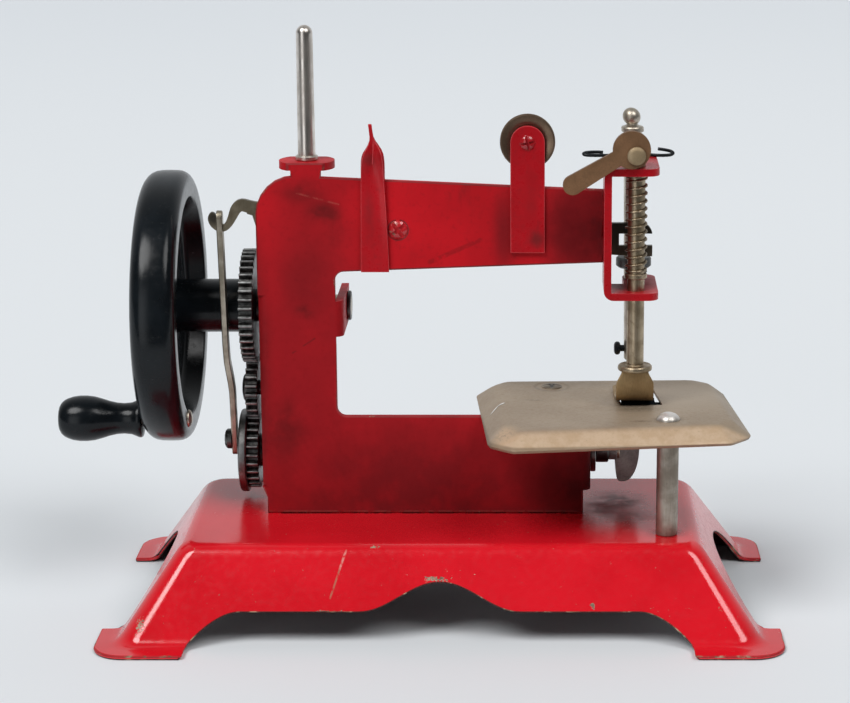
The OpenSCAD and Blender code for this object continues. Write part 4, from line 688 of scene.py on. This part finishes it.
def trimmed(node, width=0, edge=-1):
    """A copy of a node's own solid with its doubles merged and its edges broken."""
    piece = bpy.data.objects.new(node + "_copy", nodes[node].data.copy())
    scene.collection.objects.link(piece)
    on_whole(piece, MERGE, (bpy.ops.mesh.dissolve_limited, {"angle_limit": math.radians(0.5)}))
    return soften(piece, width, edge=edge) if width else piece


def copied(piece, shift):
    """Another of the same, with its own mesh, moved by a shift in mm."""
    other = piece.copy()
    other.data = piece.data.copy()
    scene.collection.objects.link(other)
    return on_whole(other, (bpy.ops.transform.translate, {"value": Vector(shift) * MM}))


def leant(piece, axis, slope, start):
    """Leans a piece towards an axis, from a height in mm upwards."""
    for corner in piece.data.vertices:
        corner.co += WAYS[axis] * slope * max(corner.co.z - start * MM, 0)
    return piece


def cross_cut(piece, axis, centre, depth_from, depth_to, reach, width, turn):
    """Two grooves across a rivet's head, as its peening tool leaves them."""
    for quarter in (0, 90):
        a = math.radians(turn + quarter)
        c, s = math.cos(a), math.sin(a)
        corners = [(centre[0] + u * c - v * s, centre[1] + u * s + v * c)
                   for u, v in box_round(0, 0, reach, width / 2)]
        cut(piece, outlined(corners, axis, depth_from, depth_to))
    return soften(piece, 0.12)


def wire(points, d):
    """Drawn wire along points in mm, made a mesh."""
    leave_all()
    curve = bpy.data.curves.new("wire", "CURVE")
    curve.dimensions = "3D"
    curve.bevel_depth = d / 2 * MM
    curve.bevel_resolution = 3
    curve.use_fill_caps = True
    run = curve.splines.new("POLY")
    run.points.add(len(points) - 1)
    for corner, point in zip(run.points, points):
        corner.co = (*(Vector(point) * MM), 1)
    piece = bpy.data.objects.new("wire", curve)
    scene.collection.objects.link(piece)
    hold(piece)
    bpy.ops.object.convert(target="MESH")
    return closed(bpy.context.object)


def eased(points, steps):
    """A smooth run through points, as a wire is bent by hand."""
    run = []
    for i in range(len(points) - 1):
        p0, p1, p2, p3 = (Vector(points[min(max(j, 0), len(points) - 1)]) for j in range(i - 1, i + 3))
        for k in range(steps):
            t = k / steps
            run.append(0.5 * (2 * p1 + (p2 - p0) * t + (2 * p0 - 5 * p1 + 4 * p2 - p3) * t * t
                              + (3 * p1 - p0 - 3 * p2 + p3) * t ** 3))
    return run + [Vector(points[-1])]


def arc(centre, r, start, end, steps, lean=0.0):
    """Points on an arc from one angle to another, in radians, all turned by a lean."""
    angles = [lean + (start + (end - start) * i / steps) for i in range(steps + 1)]
    return [(centre[0] + r * math.cos(a), centre[1] + r * math.sin(a)) for a in angles]


def circle(centre, r, sides):
    return arc(centre, r, 0, 2 * math.pi, sides)[:-1]


def box_round(u, v, half_u, half_v):
    """Corners of a small upright rectangle round a point."""
    return [(u + a * half_u, v + b * half_v) for a, b in ((-1, -1), (1, -1), (1, 1), (-1, 1))]


def share_of(value, low, high):
    """How far a value has come from low to high, from 0 to 1."""
    return min(max((value - low) / (high - low), 0.0), 1.0)


def hand_in(piece, name, node, *finishes):
    """Names the finished piece, gives it its finishes and lets it ride for its node."""
    hold(piece)
    bpy.ops.object.transform_apply(location=True, rotation=True, scale=True)
    piece.name = name
    piece.data.name = name
    slots = piece.data.materials
    while len(slots) < len(finishes):
        slots.append(finishes[0])
    for i in range(len(slots)):
        slots[i] = finishes[i] if i < len(finishes) else finishes[0]
    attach(piece, body_of[node])
    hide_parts(node)
    return piece


def lathe(name, node, finish, axis, centre, stations, sides=40, angle=32):
    """A turned piece that needs no more work."""
    return hand_in(shaded(turned(axis, centre, stations, sides), angle), name, node, finish)


# Base

def rounded(length, width, r, z):
    """Points of a rectangle with round corners about the base's middle, anticlockwise, at one height."""
    steps = 8
    points = []
    for k, (sx, sy) in enumerate(((1, 1), (-1, 1), (-1, -1), (1, -1))):
        middle = (MID_X + sx * (length / 2 - r), sy * (width / 2 - r))
        quarter = arc(middle, r, math.pi / 2 * k, math.pi / 2 * (k + 1), steps)
        points += [(x, y, z) for x, y in quarter]
    return points


def base_skin(t):
    """Rings of the pressed skin, from the edge of the feet up to the top."""
    foot_l, foot_w, wall_l, wall_w, top_l, top_w = 180, 100, 170.6, 87.8, 136, 62.6

    def wall(z, out=0.0, r=None):
        s = z / BASE_TOP
        return rounded(wall_l + (top_l - wall_l) * s + 2 * out, wall_w + (top_w - wall_w) * s + 2 * out,
                       5.4 - 0.9 * s if r is None else r, z)

    rings = [rounded(foot_l, foot_w, 8.5, t), rounded(wall_l + 3.4, wall_w + 3.4, 6.8, t)]
    hem = (0.16, 0.95), (0.55, 0.42), (1.2, 0.12), (2.0, 0.02)
    rings += [wall(t + rise, out, 5.8) for rise, out in hem]
    rings.append(wall(21.8))
    brow = (22.9, -0.06, 4.6), (23.8, -0.30, 4.5), (24.45, -0.75, 4.2), (24.85, -1.45, 3.7)
    rings += [wall(z, out, r) for z, out, r in brow]
    return rings + [rounded(top_l - 5.0, top_w - 5.0, 2.6, BASE_TOP)]


def side_gap():
    """Edge of the apron between the feet of one side, with its arch in the middle, in X and Z."""
    apron, crown, crown_l, leg_x, leg_l = 9.1, 16.1, 42, 52.4, 14.6
    leg = [(leg_x + leg_l * i / 12, apron * (1 - (i / 12) ** 1.75)) for i in range(13)]
    arch = [(crown_l / 2 * i / 16, apron + (crown - apron) * (1 + math.cos(math.pi * i / 16)) / 2)
            for i in range(-16, 17)]
    outer = leg[-1][0] + 1
    points = [(-outer, -2)] + [(-x, z) for x, z in reversed(leg)] + arch + leg + [(outer, -2)]
    return [(MID_X + x, z) for x, z in points]


def end_gap():
    half, high = 29, 16
    arch = [(half * math.cos(math.pi * i / 40), high * math.sin(math.pi * i / 40)) for i in range(41)]
    return [(half, -2)] + arch + [(-half, -2)]


def make_base(look):
    """Pressed sheet on four flanged feet: the skin is drawn from the feet up, thickened and cut."""
    t = 1.2
    base = lofted(base_skin(t))
    finishes = look["base"], look["cut_edge"], look["inside"]
    for finish in finishes:
        base.data.materials.append(finish)
    # The skin faces out and up, and the sheet lies under it; its inner faces get the inside finish, painted
    # near black as shade
    thickened(base, t, material_offset=2)
    cut(base, outlined(side_gap(), "Y", -60, 60), outlined(end_gap(), "X", -100, 110))
    soften(merged(base, 0.03), 0.45, 50, edge=1, clamp=False)
    hand_in(shaded(base, 40), "base_shell", "base", *finishes)


# Frame and what is fixed to it

def make_frame(look):
    plate = trimmed("frame")
    # The ear of the wheel's shaft at the throat is lower than it is deep
    for z in (73.2, 85.3):
        cut(plate, outlined(box_round(13, z, 17, 1.2), "X", -21.35, -15))
    soften_outline(plate, 0.45, 1, (FRAME_Y, FRAME_BACK))
    hand_in(shaded(plate), "frame_plate", "frame", look["frame"], look["edge"])
    # Three rivets through the foot of the frame, headed above and below
    first, step, low, top, d, h, shank_r = (-27.46, 3.2, 0), 30.51, 23.8, 27.0, 5.6, 1.2, 1.7
    stations = headed(low, d, h, -1) + [(low, shank_r), (top, shank_r)] + headed(top, d, h, 1)
    rivet = turned("Z", first, stations, 28)
    others = [copied(rivet, (step * i, 0, 0)) for i in (1, 2)]
    hand_in(shaded(joined(rivet, *others)), "base_rivets", "frame_rivets", look["frame"])


def make_spool_pin(look):
    low, seat, ledge, top, r = 118.5, 119.5, 121.5, 157.3, 2.2
    stations = [(low, 0), (low, 1.9), (low + 0.3, 2.4), (seat, 2.6), (seat, 1.7), (ledge, 1.7),
                (ledge, 2.75), (ledge + 0.25, 3.0), (ledge + 1.0, 3.0), (ledge + 1.3, 2.7),
                (ledge + 1.35, 2.34), (top - r, r)]
    stations += [(top - r + r * math.sin(a), r * math.cos(a)) for a in (0.3, 0.6, 0.9, 1.2, 1.4, math.pi / 2)]
    lathe("spool_spindle", "spool_pin", look["pin"], "Z", (-28.6, 2.3, 0), stations)


def make_thread_guide(look):
    """A strip that narrows upwards and is pinched into a beak, its tip bent to the left."""
    y, sheet = -4.35, 0.85
    # Height, left edge and right edge
    outline = [(92.35, -14.25, -6.75), (97, -14.2, -6.85), (104, -14.1, -7.15), (110, -14.0, -7.42),
               (115, -13.92, -7.72), (118.1, -13.86, -7.9), (120, -13.76, -7.95), (121.5, -13.6, -8.0),
               (122.4, -13.45, -8.07), (123.4, -13.2, -8.2), (124.4, -12.83, -8.4), (125.5, -12.26, -8.85),
               (126.6, -11.75, -9.5), (127.7, -11.48, -10.05), (128.8, -11.44, -10.44),
               (130.4, -11.62, -10.68), (132.0, -11.79, -10.85)]
    rows = []
    for z, left, right in outline:
        fold, curl, flat = share_of(z, 117, 124), share_of(z, 96, 120), share_of(z, 127.2, 124.2)
        row = []
        for s in (i / 4 - 1 for i in range(9)):
            pinch = fold * (1.5 * abs(s) - 0.3 * (1 - abs(s))) * sheet
            lip = curl * max(s - 0.45, 0) ** 2 * 1.815
            row.append((left + (right - left) * (s + 1) / 2, y - (pinch + lip) * flat, z))
        rows.append(row)
    piece = soften(strip(rows, sheet), 0.16, 40, edge=1)
    hand_in(shaded(piece, 50), "thread_guide_strip", "thread_guide", look["trim"], look["rim"])


def make_tension(look):
    piece = trimmed("tension_bracket", 0.28, edge=1)
    hand_in(shaded(piece), "tension_strap", "tension_bracket", look["trim"], look["rim"])
    centre = (TENSION_X, 0, TENSION_Z)
    d, h = 4.2, 0.85
    shank = [(STRAP_Y, 1.3), (-0.5, 1.3), (-0.5, 1.9), (0, 1.8), (0.3, 1.1), (0.35, 0)]
    stud = turned("Y", centre, headed(STRAP_Y, d, h, -1) + shank, 28)
    cross_cut(stud, "Y", (TENSION_X, TENSION_Z), STRAP_Y - h - 0.2, STRAP_Y - 0.1, d, 0.62, 12)
    hand_in(shaded(stud), "tension_stud", "tension_rivet", look["rivet"])
    # Two like dishes, back to back
    dish = [(-2.65, 0), (-2.65, 4.2), (-2.78, 4.9), (-2.98, 5.9), (-3.13, 6.8), (-3.1, 7.12), (-2.85, 7.3),
            (-2.5, 7.2), (-2.32, 6.4), (-2.08, 5.2), (-1.95, 4.2), (-1.95, 0)]
    back = [(-3.75 - y, r) for y, r in reversed(dish)]
    lathe("front_disc", "front_tension_disc", look["disc"], "Y", centre, dish, 56)
    lathe("rear_disc", "rear_tension_disc", look["disc"], "Y", centre, back, 56)


def make_rocker(look):
    """The beam behind the plate, with a hook of its own bend at the wheel side."""
    piece = trimmed("rocker")
    cut(piece, outlined([(-70, 90), (-44.6, 90), (-44.6, 120), (-70, 120)], "Y", -10, 10))
    # X, Z and width along the hook
    middle = eased([(-43.6, 109.1, 3.2), (-46.0, 109.7, 3.2), (-47.5, 108.7, 2.9), (-48.6, 106.4, 2.3),
                    (-49.6, 104.6, 1.9), (-50.9, 103.5, 1.7), (-52.4, 103.6, 1.7), (-53.6, 104.7, 1.9),
                    (-54.0, 106.1, 2.1), (-53.9, 107.3, 1.5), (-53.85, 107.7, 0.5)], 4)
    left, right = [], []
    for i, point in enumerate(middle):
        run = (middle[min(i + 1, len(middle) - 1)] - middle[max(i - 1, 0)]).to_2d().normalized()
        side = Vector((-run.y, run.x)) * point.z / 2
        left.append(point.to_2d() + side)
        right.append(point.to_2d() - side)
    piece = fused(piece, outlined(left + right[::-1], "Y", -0.56, 1.16))
    hand_in(shaded(soften(piece, 0.3)), "rocker_beam", "rocker", look["strap"])
    d, h = 5.2, 1.0
    body = [(FRAME_Y, 2.5), (-1.3, 2.5), (-1.3, 3.9), (-1.2, 4), (-0.65, 4), (-0.55, 3.9), (-0.55, 2.5),
            (1.15, 2.5), (1.15, 3.9), (1.25, 4), (1.95, 4), (2.15, 3.7), (2.15, 0)]
    stud = turned("Y", (PIVOT_X, 0, PIVOT_Z), headed(FRAME_Y, d, h, -1) + body, 32)
    cross_cut(stud, "Y", (PIVOT_X, PIVOT_Z), FRAME_Y - h - 0.2, FRAME_Y - 0.05, d, 1.0, 38)
    hand_in(shaded(stud), "rocker_stud", "rocker_pivot", look["rivet"])


# Head

def make_presser_rod(look):
    low, seat, top, r = 66.8, 91.8, 128.2, 2.3
    stations = [(low, 0), (low, 4.25), (low + 0.2, 4.52), (low + 0.6, 4.6), (low + 1.1, 4.52),
                (low + 1.4, 4.25), (low + 1.4, 2.6), (low + 1.7, r)]
    stations += [(seat, r), (seat, 2.75), (seat + 0.2, 2.95), (seat + 1.2, 2.95), (seat + 1.4, 2.75),
                 (seat + 1.4, r), (top, r), (top + 0.65, 1.7), (top + 0.65, 0)]
    lathe("presser_rod", "presser_bar", look["drab"], "Z", (BAR_X, PRESSER_Y, 0), stations)


def make_needle_rod(look):
    """The needle's bar with its ball, collar, drive pin, needle and screw."""
    centre = (BAR_X, NEEDLE_Y, 0)
    ball_z, ball_r, lean_z, lean = 132.5, 2.4, 122, -0.085
    stations = [(65.8, 0), (65.8, 1.9), (66.3, 2.4), (128.5, 2.4), (128.5, 2.85), (128.7, 3.0), (129.6, 3.0),
                (129.9, 2.8), (130.05, 2.1), (130.5, 1.45), (130.75, 1.35)]
    stations += [(ball_z + ball_r * math.sin(math.radians(a)), ball_r * math.cos(math.radians(a)))
                 for a in (-54, -38, -22, -6, 10, 26, 42, 58, 72, 82, 90)]
    bar = leant(turned("Z", centre, stations), "X", lean, lean_z)
    hand_in(shaded(bar), "needle_rod", "needle_bar", look["bright"])
    collar = [(91.7, 0), (91.7, 4.2), (92.2, 4.75), (94.1, 4.75), (94.5, 4.3), (94.5, 0)]
    lathe("needle_ring", "needle_collar", look["dark"], "Z", centre, collar)
    point = [(48.3, 0), (49.2, 0.25), (51, 0.42), (55, 0.5), (57, 0.55), (73.8, 0.55)]
    needle = turned("Z", centre, point, 16)
    eye_z = 51.2
    cut(needle, outlined(box_round(BAR_X, eye_z, 0.13, 0.45), "Y", NEEDLE_Y - 2, NEEDLE_Y + 2))
    hand_in(shaded(needle), "needle_point", "needle", look["bright"])
    pin = [(-0.65, 0), (-0.65, 1.0), (-0.4, 1.25), (6.3, 1.25), (6.3, 0)]
    lathe("fork_pin", "drive_pin", look["dark"], "Y", (BAR_X, 0, 100.4), pin, 24)
    screw_z, screw_end = 69.0, 53.6
    stations = [(screw_end, 0), (screw_end, 1.0), (53.8, 1.5), (54.2, 1.8), (54.8, 1.8), (55.2, 1.5),
                (55.4, 0.9), (58.1, 0.9), (58.1, 0)]
    screw = turned("X", (0, NEEDLE_Y, screw_z), stations, 24)
    cut(screw, outlined(box_round(NEEDLE_Y, screw_z, 0.22, 2), "X", screw_end - 0.6, screw_end + 0.5))
    hand_in(shaded(screw), "needle_thumb_screw", "needle_screw", look["blued"])


def make_presser_spring(look):
    """Open coils between closed end turns, fixed at the top and pressed up by the rod's seat."""
    low, top, mean_r, d, turns, per_turn = 93.6, 119.3, 2.66, 0.6, 14, 20
    points = []
    for i in range(turns * per_turn + 1):
        turn = i / per_turn
        rise = (share_of(turn, 0, 1) + share_of(turn, turns - 1, turns)) * d
        rise += share_of(turn, 1, turns - 1) * (top - low - 2 * d)
        a = 2 * math.pi * turn
        points.append((BAR_X + mean_r * math.cos(a), PRESSER_Y + mean_r * math.sin(a), low + rise))
    piece = hand_in(shaded(wire(points, d), 60), "presser_coil", "presser_spring", look["spring"])
    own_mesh(piece)


def make_presser_foot(look):
    """A strip under the rod's ring that widens, runs down and turns back under the needle."""
    neck_z, knee_z, sole_z, leaf_y, sheet, bend, hole_r = 66.8, 60.5, 57.95, -10.0, 0.9, 1.3, 1.65
    # Y, Z and half width
    run = [(-9.9, neck_z, 3.5), (leaf_y, 66.0, 3.7), (leaf_y, 64.9, 4.3), (leaf_y, 63.8, 4.85),
           (leaf_y, 63.5, 4.95), (leaf_y, 62.5, 5.0), (leaf_y, knee_z, 5.0)]
    run += [(leaf_y + bend - bend * math.cos(a), knee_z - bend * math.sin(a), 5.0)
            for a in (0.3, 0.6, 0.9, 1.15)]
    run += [(-5.5, 58.45, 5.1), (-2.0, 58.02, 5.2), (2.0, sole_z, 5.3), (8.2, sole_z, 5.3),
            (9.9, sole_z, 4.2)]
    rows = [[(BAR_X - half + half * i / 3, y, z) for i in range(7)] for y, z, half in run]
    piece = cut(strip(rows, sheet), outlined(circle((BAR_X, NEEDLE_Y), hole_r, 20), "Z", 50, 60))
    soften(piece, 0.22, 40)
    hand_in(shaded(piece, 45), "presser_toe", "presser_foot", look["foot"])


def make_lifter(look):
    """A flat lever that swells to a round cam over the bracket, and the pin that it turns on."""
    cam, cam_r, tip, tip_r, neck = (57.1, 126.95), 4.95, (41.8, 117.75), 2.55, 2.05
    arm = Vector((tip[0] - cam[0], tip[1] - cam[1])).normalized()
    lean = math.atan2(arm.y, arm.x)
    gap = math.asin(neck / cam_r)
    points = arc(cam, cam_r, gap, 2 * math.pi - gap, 36, lean)
    points += arc(tip, tip_r, -math.pi / 2, math.pi / 2, 12, lean)
    lever = outlined(points, "Y", -15.7, -14.15)
    lever = fused(lever, outlined(circle((57.6, 126.6), 4.5, 48), "Y", -14.3, -11.6))
    hand_in(shaded(soften(lever, 0.3, segments=3)), "lifter_arm", "lifter_lever", look["lever"])
    stations = [(-16.8, 0), (-16.75, 1.2), (-16.6, 1.9), (-16.25, 2.35), (-15.78, 2.45), (-15.78, 1.55),
                (-6.9, 1.55), (-6.7, 1.3), (-6.7, 0)]
    lathe("lifter_stud", "lifter_pin", look["brass"], "Y", (58.35, 0, 125.45), stations, 36)


def make_thread_wire(look):
    """One wire: a flat eye at the left, half way round the needle bar and a tilted eye at the right."""
    z, r = 122.15, 4.0
    left = [(50.3, 7.3, z + 0.55), (48.6, 7.5, z + 0.6), (46.6, 7.4, z + 0.55), (45.3, 6.9, z + 0.4),
            (45.1, 6.2, z + 0.2), (45.9, 5.7, z + 0.05), (48.0, 5.5, z), (51.5, 5.6, z)]
    around = [(BAR_X - r * math.cos(a), NEEDLE_Y + r * math.sin(a), z)
              for a in (0.1, 0.6, 1.2, 1.57, 2.0, 2.5, 3.0)]
    right = [(64.4, 5.9, z), (66.4, 5.6, z), (68.2, 5.9, z + 0.1), (69.0, 6.6, z + 0.45),
             (68.3, 7.2, z + 0.9), (66.6, 7.4, z + 1.25), (65.0, 7.2, z + 1.5)]
    piece = wire(eased(left + around + right, 5), 0.9)
    hand_in(shaded(piece, 60), "thread_eye_wire", "thread_wire", look["blued"])


def make_bracket(look):
    piece = trimmed("head_bracket", 0.4, edge=1)
    hand_in(shaded(piece), "head_bracket_strap", "head_bracket", look["trim"], look["rim"])


# Wheel side

def make_wheel(look):
    centre = (0, SHAFT_Y, WHEEL_Z)
    left, right, r, inner = -74.0, -62.0, 37.1, 29.9
    web_left, web_right, hub_r, hub_end = -72.0, -68.0, 7.3, -47.7
    outer_r, back_r, rim_angles = 4.2, 3.2, (0.26, 0.52, 0.79, 1.05, 1.31)
    profile = [(left, 0), (left, hub_r - 0.5), (left + 0.4, hub_r), (left + 1.2, hub_r + 0.4),
               (left + 1.8, hub_r + 1.4), (web_left, hub_r + 2.6), (web_left, inner - 2.4),
               (left + 1.6, inner - 1.3), (left + 0.8, inner - 0.5), (left + 0.15, inner + 0.1),
               (left, inner + 0.7)]
    profile += [(left + outer_r - outer_r * math.cos(a), r - 0.1 - outer_r + outer_r * math.sin(a))
                for a in (0, *rim_angles)]
    profile += [(left + 4.4, r - 0.06), ((left + right) / 2, r), (right - 3.4, r - 0.06)]
    profile += [(right - back_r + back_r * math.sin(a), r - 0.1 - back_r + back_r * math.cos(a))
                for a in (*rim_angles, 1.57)]
    profile += [(right, inner + 0.7), (right - 0.15, inner + 0.1), (right - 0.6, inner - 0.2),
                (web_right + 1.6, inner - 0.9), (web_right + 0.5, inner - 1.5), (web_right, inner - 2.6),
                (web_right, hub_r + 2.4), (web_right + 0.4, hub_r + 1.1), (web_right + 1.2, hub_r + 0.3),
                (web_right + 2.4, hub_r), (hub_end - 0.4, hub_r), (hub_end, hub_r - 0.4), (hub_end, 0)]
    lathe("balance_wheel", "hand_wheel", look["black"], "X", centre, profile, 96, 40)
    shaft = [(left - 0.5, 0), (left - 0.45, 1.6), (left - 0.2, 2.6), (left + 0.2, 3.0), (-18.5, 3.0),
             (-18.24, 2.7), (-18.24, 0)]
    lathe("wheel_axle", "wheel_shaft", look["nickel"], "X", centre, shaft, 32)
    clip = [(-19.24, 0), (-19.24, 3.8), (-19.05, 4.05), (-18.45, 4.05), (-18.25, 3.8), (-18.25, 0)]
    lathe("clip_ring", "shaft_clip", look["dark"], "X", centre, clip, 36)


def make_knob(look):
    """A turned grip with a collar at the wheel, a waist and a blunt end."""
    centre, start = (0, 0.06, 50.88), -74.4
    grip = [(0, 0), (0, 4.9), (0.25, 5.15), (0.9, 5.2), (1.6, 4.9), (3.0, 4.35), (5.0, 4.15), (7.0, 4.3),
            (9.0, 4.75), (11.0, 5.4), (13.0, 5.95), (15.0, 6.2), (17.0, 6.2), (18.8, 5.95), (20.2, 5.5),
            (21.2, 5.0), (22.0, 4.3), (22.5, 3.4), (22.75, 2.2), (22.8, 0)]
    grip = [(start - a, r) for a, r in grip]
    lathe("crank_grip", "crank_knob", look["black"], "X", centre, grip, 48, 50)
    stud = [(-61.0, 0), (-61.05, 1.0), (-61.3, 1.8), (-61.7, 2.3), (-62.0, 2.4), (-62.0, 1.5), (-90.4, 1.5),
            (-90.5, 0)]
    lathe("grip_stud", "knob_stud", look["bright"], "X", centre, stud, 28)


def make_gears(look):
    module, tip = 0.75, 0.85
    for name, node, z, teeth in (("drive_wheel_gear", "drive_gear", WHEEL_Z, 40),
                                 ("idler_wheel_gear", "idler_gear", IDLER_Z, 22),
                                 ("crank_wheel_gear", "crank_gear", LOWER_Z, 26)):
        steel = gear_steel(name + "_steel", (0, SHAFT_Y, z), module * (teeth / 2 + tip))
        hand_in(shaded(trimmed(node, 0.14)), name, node, steel)
    disc = [(-49.4, 0), (-49.4, 10.9), (-49.2, 11.3), (-48.8, 11.5), (-47.5, 11.5), (-47.2, 11.2), (-47.2, 0)]
    lathe("crank_plate", "crank_disc", look["grey"], "X", (0, SHAFT_Y, LOWER_Z), disc, 72)
    stud = [(-48.7, 0), (-48.6, 2.2), (-48.35, 3.3), (-47.95, 3.85), (-47.4, 4.0), (-47.4, 2.0), (-39.2, 2.0),
            (-39.1, 0)]
    lathe("idler_axle", "idler_stud", look["dark"], "X", (0, SHAFT_Y, IDLER_Z), stud, 32)


def make_link(look):
    """A thin strap from the rocker's hook down to the crank, stepped towards the crank half way."""
    top, low, start_x, step_x, half_w = (0.3, 104.0), (10.23, 42.31), -52.8, 1.2, 1.8
    lean = math.atan2(low[0] - top[0], top[1] - low[1])
    span = math.hypot(low[0] - top[0], low[1] - top[1])
    places = [-4.2, -3.8, -3.2, -2.4, 0, 6, 14, 24, 34, 39, 42, 45, 48, 52, 57]
    places += [span + more for more in (0, 2.8, 3.6, 4.2, 4.5)]
    rows = []
    for along in places:
        step = share_of(along, 36, 49)
        x = start_x + step_x * step * step * (3 - 2 * step)
        inset = max(-along - 2.4, along - span - 2.8, 0.0)
        half = math.sqrt(max(half_w ** 2 - inset ** 2, 0.3))
        y = top[0] + along * math.sin(lean)
        z = top[1] - along * math.cos(lean)
        rows.append([(x, y + half * s * math.cos(lean), z + half * s * math.sin(lean))
                     for s in (-1, -0.5, 0, 0.5, 1)])
    piece = soften(strip(rows, 1.6), 0.35, 40)
    hand_in(shaded(piece, 45), "drive_link_strap", "drive_link", look["link"])
    stud = [(-53.6, 0), (-53.55, 1.5), (-53.3, 2.3), (-52.8, 2.75), (-51.6, 2.8), (-51.6, 1.4),
            (-50.0, 1.4), (-50.0, 0)]
    pin = cross_cut(turned("X", (0, *low), stud, 28), "X", low, -54, -52.9, 3, 0.6, 25)
    hand_in(shaded(pin), "link_stud", "link_pin", look["dark"])


# Under the bed and the bed

def make_lower_shaft(look):
    centre, cam_throw = (0, SHAFT_Y, LOWER_Z), 0.4
    shaft = [(-49.4, 0), (-49.4, 2.2), (-49.1, 2.5), (55.4, 2.5), (55.7, 2.2), (55.7, 0)]
    lathe("lower_axle", "lower_shaft", look["nickel"], "X", centre, shaft, 28)
    washer = [(47.5, 0), (47.5, 5.8), (47.7, 6.0), (48.7, 6.0), (48.9, 5.8), (48.9, 0)]
    lathe("thrust_ring", "thrust_washer", look["grey"], "X", centre, washer, 36)
    cam = [(48.9, 0), (48.9, 3.5), (49.2, 3.8), (52.2, 3.8), (52.5, 3.5), (52.5, 0)]
    lathe("feed_cam_ring", "feed_cam", look["dark"], "X", (0, SHAFT_Y, LOWER_Z + cam_throw), cam, 36)
    # The looper is a blunt cast fin on a narrow hub
    half_t = 1.3
    fin = eased([(54.3, 41.0), (54.2, 38.0), (54.4, 34.0), (54.7, 31.0), (55.2, 29.6), (56.4, 29.2),
                 (58.0, 29.6), (59.3, 31.0), (60.3, 33.2), (60.9, 36.0), (61.1, 39.0), (60.8, 41.0),
                 (59.0, 42.0), (56.0, 42.0), (54.5, 41.6)], 3)
    hub = turned("X", centre, [(52.5, 0), (52.5, 2.5), (52.7, 2.7), (54.7, 2.7), (54.9, 2.5), (54.9, 0)], 28)
    piece = fused(outlined(fin, "Y", SHAFT_Y - half_t, SHAFT_Y + half_t), hub)
    soften(piece, 0.45, segments=3)
    hand_in(shaded(piece, 45), "looper_fin", "looper", look["looper"])


def clipped(length, width, clip, z):
    """Corners of a plate with clipped, slightly rounded corners, turned a little and a little warped."""
    warp, warp_x, warp_y, soft = 0.55, 34.5, 29.8, 1.3
    half_l, half_w = length / 2, width / 2
    raw = [(half_l, clip - half_w), (half_l, half_w - clip), (half_l - clip, half_w),
           (clip - half_l, half_w), (-half_l, half_w - clip), (-half_l, clip - half_w),
           (clip - half_l, -half_w), (half_l - clip, -half_w)]
    points = []
    for i in range(8):
        p, before, after = (Vector(raw[(i + k) % 8]) for k in (0, -1, 1))
        a = p + (before - p).normalized() * soft
        b = p + (after - p).normalized() * soft
        points += [a, (a + 2 * p + b) / 4, b]
    c, s = math.cos(math.radians(BED_YAW)), math.sin(math.radians(BED_YAW))
    return [(BED_MID[0] + p.x * c - p.y * s, BED_MID[1] + p.x * s + p.y * c,
             z - warp * p.x / warp_x * p.y / warp_y) for p in points]


def make_bed(look):
    """The bed's plate with its edges turned down, sitting a few degrees askew, and what holds it."""
    t, low_z = 1.2, 52.8
    # Length, width and clipped corner
    top, low = (59.4, 49.4, 4.0), (69.2, 59.6, 6.0)

    def ring(s, z, inset=0.0):
        length, width, clip = (b + (a - b) * s for a, b in zip(top, low))
        return clipped(length - 2 * inset, width - 2 * inset, clip, z)

    skirt = (0, 0), (0.10, 0.42), (0.4, 1.62), (0.68, 2.74), (0.82, 3.24), (0.94, 3.62)
    skin = [ring(s, low_z + rise) for s, rise in skirt]
    skin += [ring(1, BED_TOP - drop, inset) for drop, inset in ((0.18, 0.4), (0.05, 1.4), (0, 2.6))]
    plate = thickened(lofted(skin), t)
    cut(plate, outlined([(55.1, -7.75), (66.2, -7.5), (64.6, 9.2), (55.0, 8.7)], "Z", 50, 60))
    soften(plate, 0.2, 40)
    hand_in(shaded(plate, 45), "bed_top", "bed_plate", look["khaki"])
    stations = [(52.9, 0), (52.9, 2.8), (53.4, 3.2), (55.6, 3.2), (55.6, 2.0), (56.75, 2.0), (56.75, 2.9),
                (57.1, 2.8), (57.32, 2.3), (57.44, 1.3), (57.46, 0)]
    rivet = turned("Z", (RIVET_X, RIVET_Y, 0), stations, 32)
    cross_cut(rivet, "Z", (RIVET_X, RIVET_Y), 57.12, 58, 3.5, 0.7, 0)
    hand_in(shaded(rivet), "bed_stud", "bed_rivet", look["stud"])
    stations = [(22.3, 0), (22.4, 1.8), (22.9, 2.6), (23.8, 2.8), (23.8, 1.9), (25, 1.9), (25, 2.7),
                (25.3, 2.9), (55.3, 2.9), (55.6, 2.7), (55.6, 1.9), (56.8, 1.9), (56.8, 3.15), (57.2, 3.1),
                (57.8, 2.75), (58.4, 2.1), (58.8, 1.2), (58.95, 0)]
    post = leant(turned("Z", (POST_X, POST_Y, 0), stations), "Y", -0.055, BASE_TOP)
    hand_in(shaded(post), "bed_pillar", "bed_post", look["pillar"])
    hand_in(shaded(trimmed("feed_dog", 0.09)), "feed_dog_block", "feed_dog", look["greasy"])
    hand_in(shaded(trimmed("feed_guide", 0.2)), "feed_strap", "feed_guide", look["greasy"])


set_camera()
set_light()
set_floor()
looks = make_finishes()
for make in (make_base, make_frame, make_spool_pin, make_thread_guide, make_tension, make_rocker,
             make_presser_rod, make_needle_rod, make_presser_spring, make_presser_foot, make_lifter,
             make_thread_wire, make_bracket, make_wheel, make_knob, make_gears, make_link, make_lower_shaft,
             make_bed):
    make(looks)

scene.view_settings.view_transform = "Standard"
